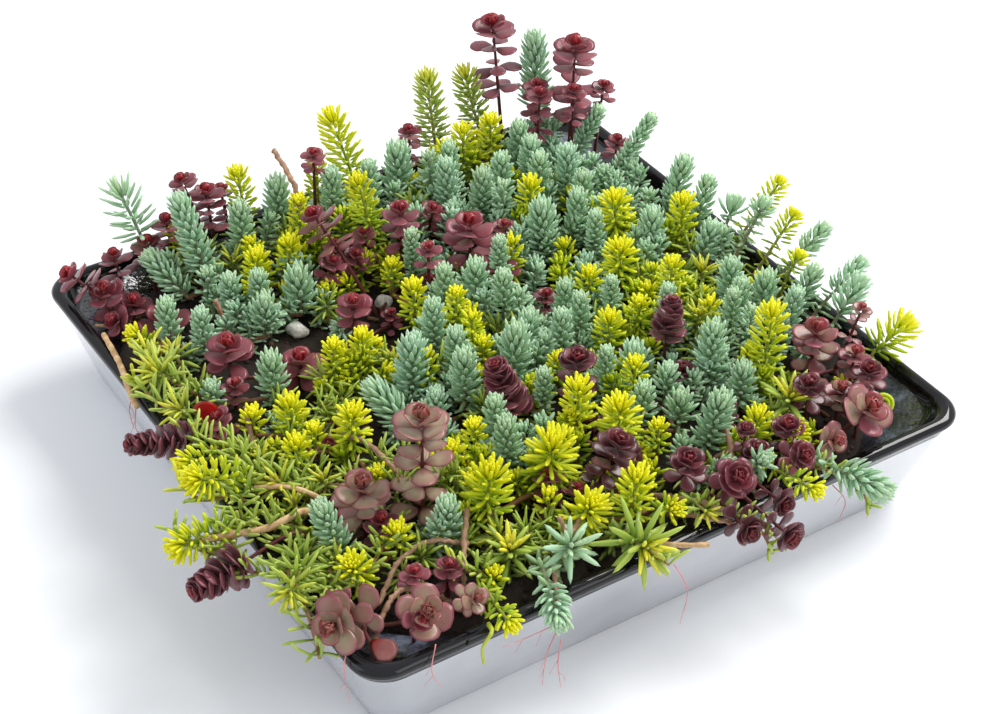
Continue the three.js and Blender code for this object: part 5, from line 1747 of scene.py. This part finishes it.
# Green stems in the carpet and over its edge: radius, longest leaf, how yellow the tip, the way
TRAILING_STEMS = [
    (0.9, 13, 0.5, (-109, -50, 42), (-114, -37, 50), (-123, -30, 52), (-127, -14, 54)),
    (1.0, 14, 0.2, (-118, -52, 42), (-132, -57, 51), (-144, -54, 51), (-153, -50, 50)),
    (1.0, 15, 0.1, (-118, -56, 42), (-136, -76, 50), (-140, -91, 51), (-143, -105, 49),
     (-145, -115, 40)),
    (0.8, 11, 0.5, (-134, -80, 48), (-144, -77, 49), (-150, -68, 47), (-153, -58, 43)),
    (0.9, 13, 1.0, (-118, -32, 42), (-135, -34, 51), (-147, -30, 51), (-151, -20, 52)),
    (0.9, 13, 0.8, (-112, -14, 42), (-123, -10, 51), (-133, -6, 53), (-136, 4, 54)),
    (0.9, 12, 0.3, (-112, -70, 42), (-124, -86, 50), (-131, -101, 49)),
    (0.9, 14, 0.4, (-119, -17, 42), (-130, -32, 51), (-140, -46, 53), (-150, -58, 50)),
    (0.8, 10, 0.4, (-148, -60, 46), (-157, -54, 48), (-162, -48, 50), (-164, -40, 53)),
    (0.9, 12, 0.3, (-86, -69, 42), (-104, -88, 50), (-122, -100, 51)),
    (0.8, 11, 0.8, (-65, -108, 42), (-80, -116, 49), (-87, -110, 52)),
    (0.9, 13, 1.0, (-112, 31, 42), (-122, 33, 50), (-128, 46, 53), (-127, 60, 54)),
    (0.9, 13, 0.9, (-117, 12, 42), (-131, 20, 50), (-137, 33, 52), (-138, 48, 52)),
    (0.9, 12, 0.2, (-119, -84, 42), (-134, -98, 50), (-137, -112, 50)),
    (0.8, 10, 0.6, (10, -118, 42), (16, -136, 49), (23, -150, 47), (26, -156, 38)),
    (0.8, 10, 0.3, (58, -118, 42), (64, -138, 49), (71, -150, 47), (74, -156, 38)),
    (0.8, 11, 0.6, (-28, -118, 42), (-24, -136, 51), (-19, -150, 50)),
]
YELLOW_STRAP = [(-90, -139, 48), (-94, -147, 53), (-97, -146, 46), (-97, -147, 39)]
# Hair roots: from where they leave the plants to where they end
HAIR_ROOTS = [
    ((-139, -124, 50), (-142, -127, 42), (-142, -130, 29)),
    ((-70, -152, 44), (-73, -151, 33), (-75, -152, 20)),
    ((-69, -154, 42), (-72, -157, 34), (-71, -158, 22)),
    ((-62, -150, 46), (-78, -146, 41), (-89, -147, 43)),
    ((-141, 45, 47), (-144, 43, 42), (-144, 40, 35)),
    ((-143, 38, 47), (-146, 33, 41), (-144, 30, 36)),
    ((62, -146, 48), (66, -150, 41), (62, -152, 34)),
    ((70, -152, 50), (76, -154, 43), (73, -156, 33)),
    ((-20, -154, 54), (-16, -158, 42), (-18, -158, 26)),
    ((24, -150, 48), (30, -154, 42), (36, -153, 40)),
    ((-112, -139, 50), (-116, -143, 42), (-113, -145, 34)),
]
# Two lone leaves: the finish, the stalk up to the leaf, and where the leaf runs and faces
LONE_LEAVES = [
    (0, [(-119, 5, 36), (-122, 7, 46), (-124.4, 8.6, 52)], (-0.15, 0.2, 0.97), (-0.5, -0.75, 0.1)),
    (2, [(-124, -112, 44), (-129, -118, 49), (-129.4, -123.5, 47.5)], (4.3, -8.4, -2.5),
     (-0.3, -0.4, 0.87)),
]
# Their length, width, thickness and curl, in millimetres and radians
LONE_LEAF = (11, 10, 0.9, 0.25)
STALK_RADIUS = 0.8
# The millimetres between the points of a line that bends much, and a hair root's radii
FINE_STEP = 1.4
ROOT_STEP = 1.6
ROOT_RADII, TWIG_RADII = (0.26, 0.1), (0.14, 0.08)
TWIG_BEND = (0.6, 0.3, 0.4)


def bare_stems(draw, finishes):
    """Smooth cut stems, and old wavering ones with a ring wherever a leaf has dropped."""
    growth = Growth()
    for radius, *way in CUT_STEMS:
        line = smooth_line(way)
        radii = radius * drawn(draw, 0.86, 1.12, len(line))
        growth.stem(line, radii, np.zeros(len(line)), draw.random(), sides=8, finish=0)
    for radius, *way in OLD_STEMS:
        line = smooth_line(way, step=FINE_STEP)
        rings = 1 + 0.28 * (np.arange(len(line)) % 3 == 0)
        waver = drawn(draw, -0.3, 0.3, 3 * len(line)).reshape(-1, 3)
        growth.stem(line + waver, radius * rings, np.zeros(len(line)), draw.random(), sides=8)
    growth.piece("bare_stems", [finishes["straw"], finishes["wood"]], "green_stonecrop")


def trailing_stems(template, draw, finishes):
    """The green stems that trail over the edge, and one yellow shoot like a strap."""
    growth = Growth()
    for radius, longest, youth, *way in TRAILING_STEMS:
        trailing_stem(growth, template, way, radius, longest, youth, draw)
    strap = smooth_line(YELLOW_STRAP, step=FINE_STEP)
    count = len(strap)
    growth.stem(strap, np.linspace(1, 0.5, count), np.full(count, 0.9), 0.6, finish=0)
    growth.piece("trailing_green_stems", [finishes["green"], finishes["green_stem"]],
                 "green_stonecrop")


def hair_roots(draw, finishes):
    """Hair roots over the edge, each forked twice."""
    growth = Growth()

    def root(way, ends, sides):
        line = smooth_line(way, step=ROOT_STEP)
        radii = np.linspace(*ends, len(line))
        growth.stem(line, radii, np.zeros(len(line)), 0.5, sides=sides, finish=0)
        return line

    for way in HAIR_ROOTS:
        line = root(way, ROOT_RADII, 5)
        for fork in (0.4, 0.7):
            start = line[int(fork * (len(line) - 1))]
            end = start + [draw.uniform(-5, 5), draw.uniform(-2, 2), draw.uniform(-6, -3)]
            root([start, (start + end) / 2 + TWIG_BEND, end], TWIG_RADII, 4)
    growth.piece("hair_roots", [finishes["root"]], "green_stonecrop")


def lone_leaves(template, finishes):
    """The two lone leaves, each at the end of its stalk."""
    growth = Growth()
    for finish, stalk, way, face in LONE_LEAVES:
        way = np.array([way]) / np.linalg.norm(way)
        face = np.array([face]) - way * (way[0] @ face)
        face /= np.linalg.norm(face)
        sizes = [np.array([float(value)]) for value in LONE_LEAF]
        growth.leaves(template, np.array([stalk[-1]]), way, face, *sizes,
                      np.ones(1), np.full(1, 0.5), finish=finish)
        line = smooth_line(stalk)
        growth.stem(line, np.full(len(line), STALK_RADIUS), np.zeros(len(line)), 0.5)
    growth.piece("lone_leaves", [finishes["scarlet"], finishes["red_stem"], finishes["coral"]],
                 "red_stonecrop")


# ---- crumbs and loose bits ----

LUMP_SEEDS = (1, 5, 9)
LUMPS_OF_EACH = 420
LUMP_WIDTH = (0.9, 3.2)
LUMP_RISE = 0.12
CHIPS = 60
CHIP_WIDTH = (4, 9)
# Where bark chips lie in plain view
SEEN_CHIPS = [(-30, 26), (-36, 34), (-18, 44), (-27, 50), (108, 84), (114, 92), (118, 80),
              (-90, -60), (-84, 40)]
CHIP_RISE = 1.0
BEAD_RISE = 0.35
# Perlite beads and pebbles: x, y and width
BEADS = [(-60, 57, 9), (-17.5, 57.5, 7.5), (-22, 2, 6), (-40, 30, 3), (60, 14, 2.6), (98, 70, 3),
         (-100, 20, 2.4)]


def loose_bits(finishes):
    """Crumbs, bark chips, perlite and pebbles on the soil."""
    draw = random.Random(CRUMBS_SEED)
    growth = Growth()
    half = FLOOR_HALF + 8

    def strewn(number):
        return [(draw.uniform(-half, half), draw.uniform(-half, half)) for _ in range(number)]

    def with_widths(spots, width):
        return [(*spot, width) for spot, width in zip(spots, [width() for _ in spots])]

    for seed in LUMP_SEEDS:
        lump = lump_template(1, seed)
        places = with_widths(strewn(LUMPS_OF_EACH), lambda: draw.uniform(*LUMP_WIDTH) ** 1.1)
        scatter(growth, lump, places, draw, 0, lambda width: width * LUMP_RISE)
    places = with_widths(strewn(CHIPS) + SEEN_CHIPS, lambda: draw.uniform(*CHIP_WIDTH))
    scatter(growth, bark_template(), places, draw, 1, lambda width: CHIP_RISE, flat=True)
    bead = lump_template(3, 3, 0.3)
    scatter(growth, bead, BEADS, draw, 2, lambda width: width * BEAD_RISE)
    growth.piece("soil_crumbs_and_bark", [finishes["soil"], finishes["bark"], finishes["grit"]],
                 "soil")


# ---- camera, floor and light ----

# The photograph's camera: its width and focal length in pixels, its place and how it is turned
PICTURE_WIDTH = 1000
FOCAL_PIXELS = 2112
SENSOR_WIDTH = 36
CAMERA_PLACE = (-0.3833, -0.5811, 0.5815)
PITCH, YAW, ROLL = (math.radians(angle) for angle in (37.94, 33.77, 1.25))
PAPER = (0.86, 0.875, 0.9, 1)
SKY = (0.97, 0.98, 1, 1)
SKY_STRENGTH = 0.76
# Each lamp: name, place, width in metres, power in watts and colour
LAMPS = [
    ("window_light", (1.25, 0.15, 1.5), 1.0, 37, (1, 0.985, 0.95)),
    ("front_fill", (0.5, -1.3, 1.0), 1.0, 5.5, (1, 1, 1)),
    ("left_fill", (-1.4, 0.5, 0.9), 1.2, 5, (0.86, 0.92, 1)),
]
LAMPS_AIM = (0, 0, 0.05)


def set_camera():
    """The camera that the photograph was read through."""
    data = bpy.data.cameras.new("photograph_view")
    data.sensor_width = SENSOR_WIDTH
    data.lens = FOCAL_PIXELS / PICTURE_WIDTH * SENSOR_WIDTH
    data.clip_start = 0.05
    camera = bpy.data.objects.new("photograph_view", data)
    forward = Vector((math.cos(PITCH) * math.sin(YAW), math.cos(PITCH) * math.cos(YAW),
                      -math.sin(PITCH)))
    level = forward.cross(Vector((0, 0, 1))).normalized()
    upward = level.cross(forward)
    right = level * math.cos(ROLL) + upward * math.sin(ROLL)
    up = upward * math.cos(ROLL) - level * math.sin(ROLL)
    pose = Matrix((right, up, -forward)).transposed().to_4x4()
    pose.translation = Vector(CAMERA_PLACE)
    camera.matrix_world = pose
    bpy.context.scene.collection.objects.link(camera)
    bpy.context.scene.camera = camera


def soft_light(name, place, width, power, colour):
    """A square lamp that looks at the dish."""
    data = bpy.data.lights.new(name, "AREA")
    data.size = width
    data.energy = power
    data.color = colour
    light = bpy.data.objects.new(name, data)
    light.location = place
    light.rotation_euler = (Vector(LAMPS_AIM) - Vector(place)).to_track_quat("-Z", "Y").to_euler()
    bpy.context.scene.collection.objects.link(light)


def set_studio():
    """A pale paper floor, a soft sky and the lamps."""
    bpy.context.scene.view_settings.view_transform = "Standard"
    deselect_all()
    bpy.ops.mesh.primitive_plane_add(size=8)
    floor = named("pale_floor")
    paper = Finish("pale_floor")
    paper.body = PAPER
    floor.data.materials.append(paper.done(0.9, specular=0.2))
    world = bpy.data.worlds.new("soft_sky")
    world.use_nodes = True
    sky = world.node_tree.nodes["Background"].inputs
    sky["Color"].default_value = SKY
    sky["Strength"].default_value = SKY_STRENGTH
    bpy.context.scene.world = world
    for lamp in LAMPS:
        soft_light(*lamp)


# Each needle leaf's corners round, and its rings: place along the leaf and width
NEEDLE = (5, [(0, 0.6), (0.42, 1.0), (0.82, 0.68)])
BLUNT_NEEDLE = (5, [(0, 0.5), (0.3, 0.85), (0.74, 1.0), (0.93, 0.72)])
SHORT_NEEDLE = (4, [(0, 0.6), (0.5, 1.0), (0.86, 0.68)])
# Each round leaf's points round its rim, rings, hollow and teeth
ROUND = (22, 4, 0.16, 0.02)
SMALL_ROUND = (10, 4, 0.18)
CLUMPS_SEED, SPRIGS_SEED, STRAYS_SEED, CRUMBS_SEED = 2027, 811, 57, 93


def main():
    """Makes the dish, the clumps, what grows between them, and the studio."""
    set_camera()
    finishes = make_finishes()
    templates = {
        "needle": needle_leaf(*NEEDLE),
        "blunt": needle_leaf(*BLUNT_NEEDLE),
        "short": needle_leaf(*SHORT_NEEDLE),
        "round": round_leaf(*ROUND),
        "small": round_leaf(*SMALL_ROUND),
    }
    make_dish(finishes)
    make_soil(finishes["soil"])
    clumps = planted()
    draw = random.Random(CLUMPS_SEED)
    for name, (shoots, runners) in clumps.items():
        growth = Growth()
        kind = shoots[0].kind
        for shoot in shoots:
            grow_shoot(growth, shoot, templates, draw)
        for way in runners:
            creeping_stem(growth, way, kind, draw)
        piece = growth.piece(name + "_plant", [finishes[kind], finishes[kind + "_stem"]],
                             f"{kind}_stonecrop")
        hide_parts(name)
    Undergrowth(clumps, templates).make(finishes)
    draw = random.Random(STRAYS_SEED)
    bare_stems(draw, finishes)
    trailing_stems(templates["blunt"], draw, finishes)
    hair_roots(draw, finishes)
    lone_leaves(templates["round"], finishes)
    loose_bits(finishes)
    set_studio()


main()
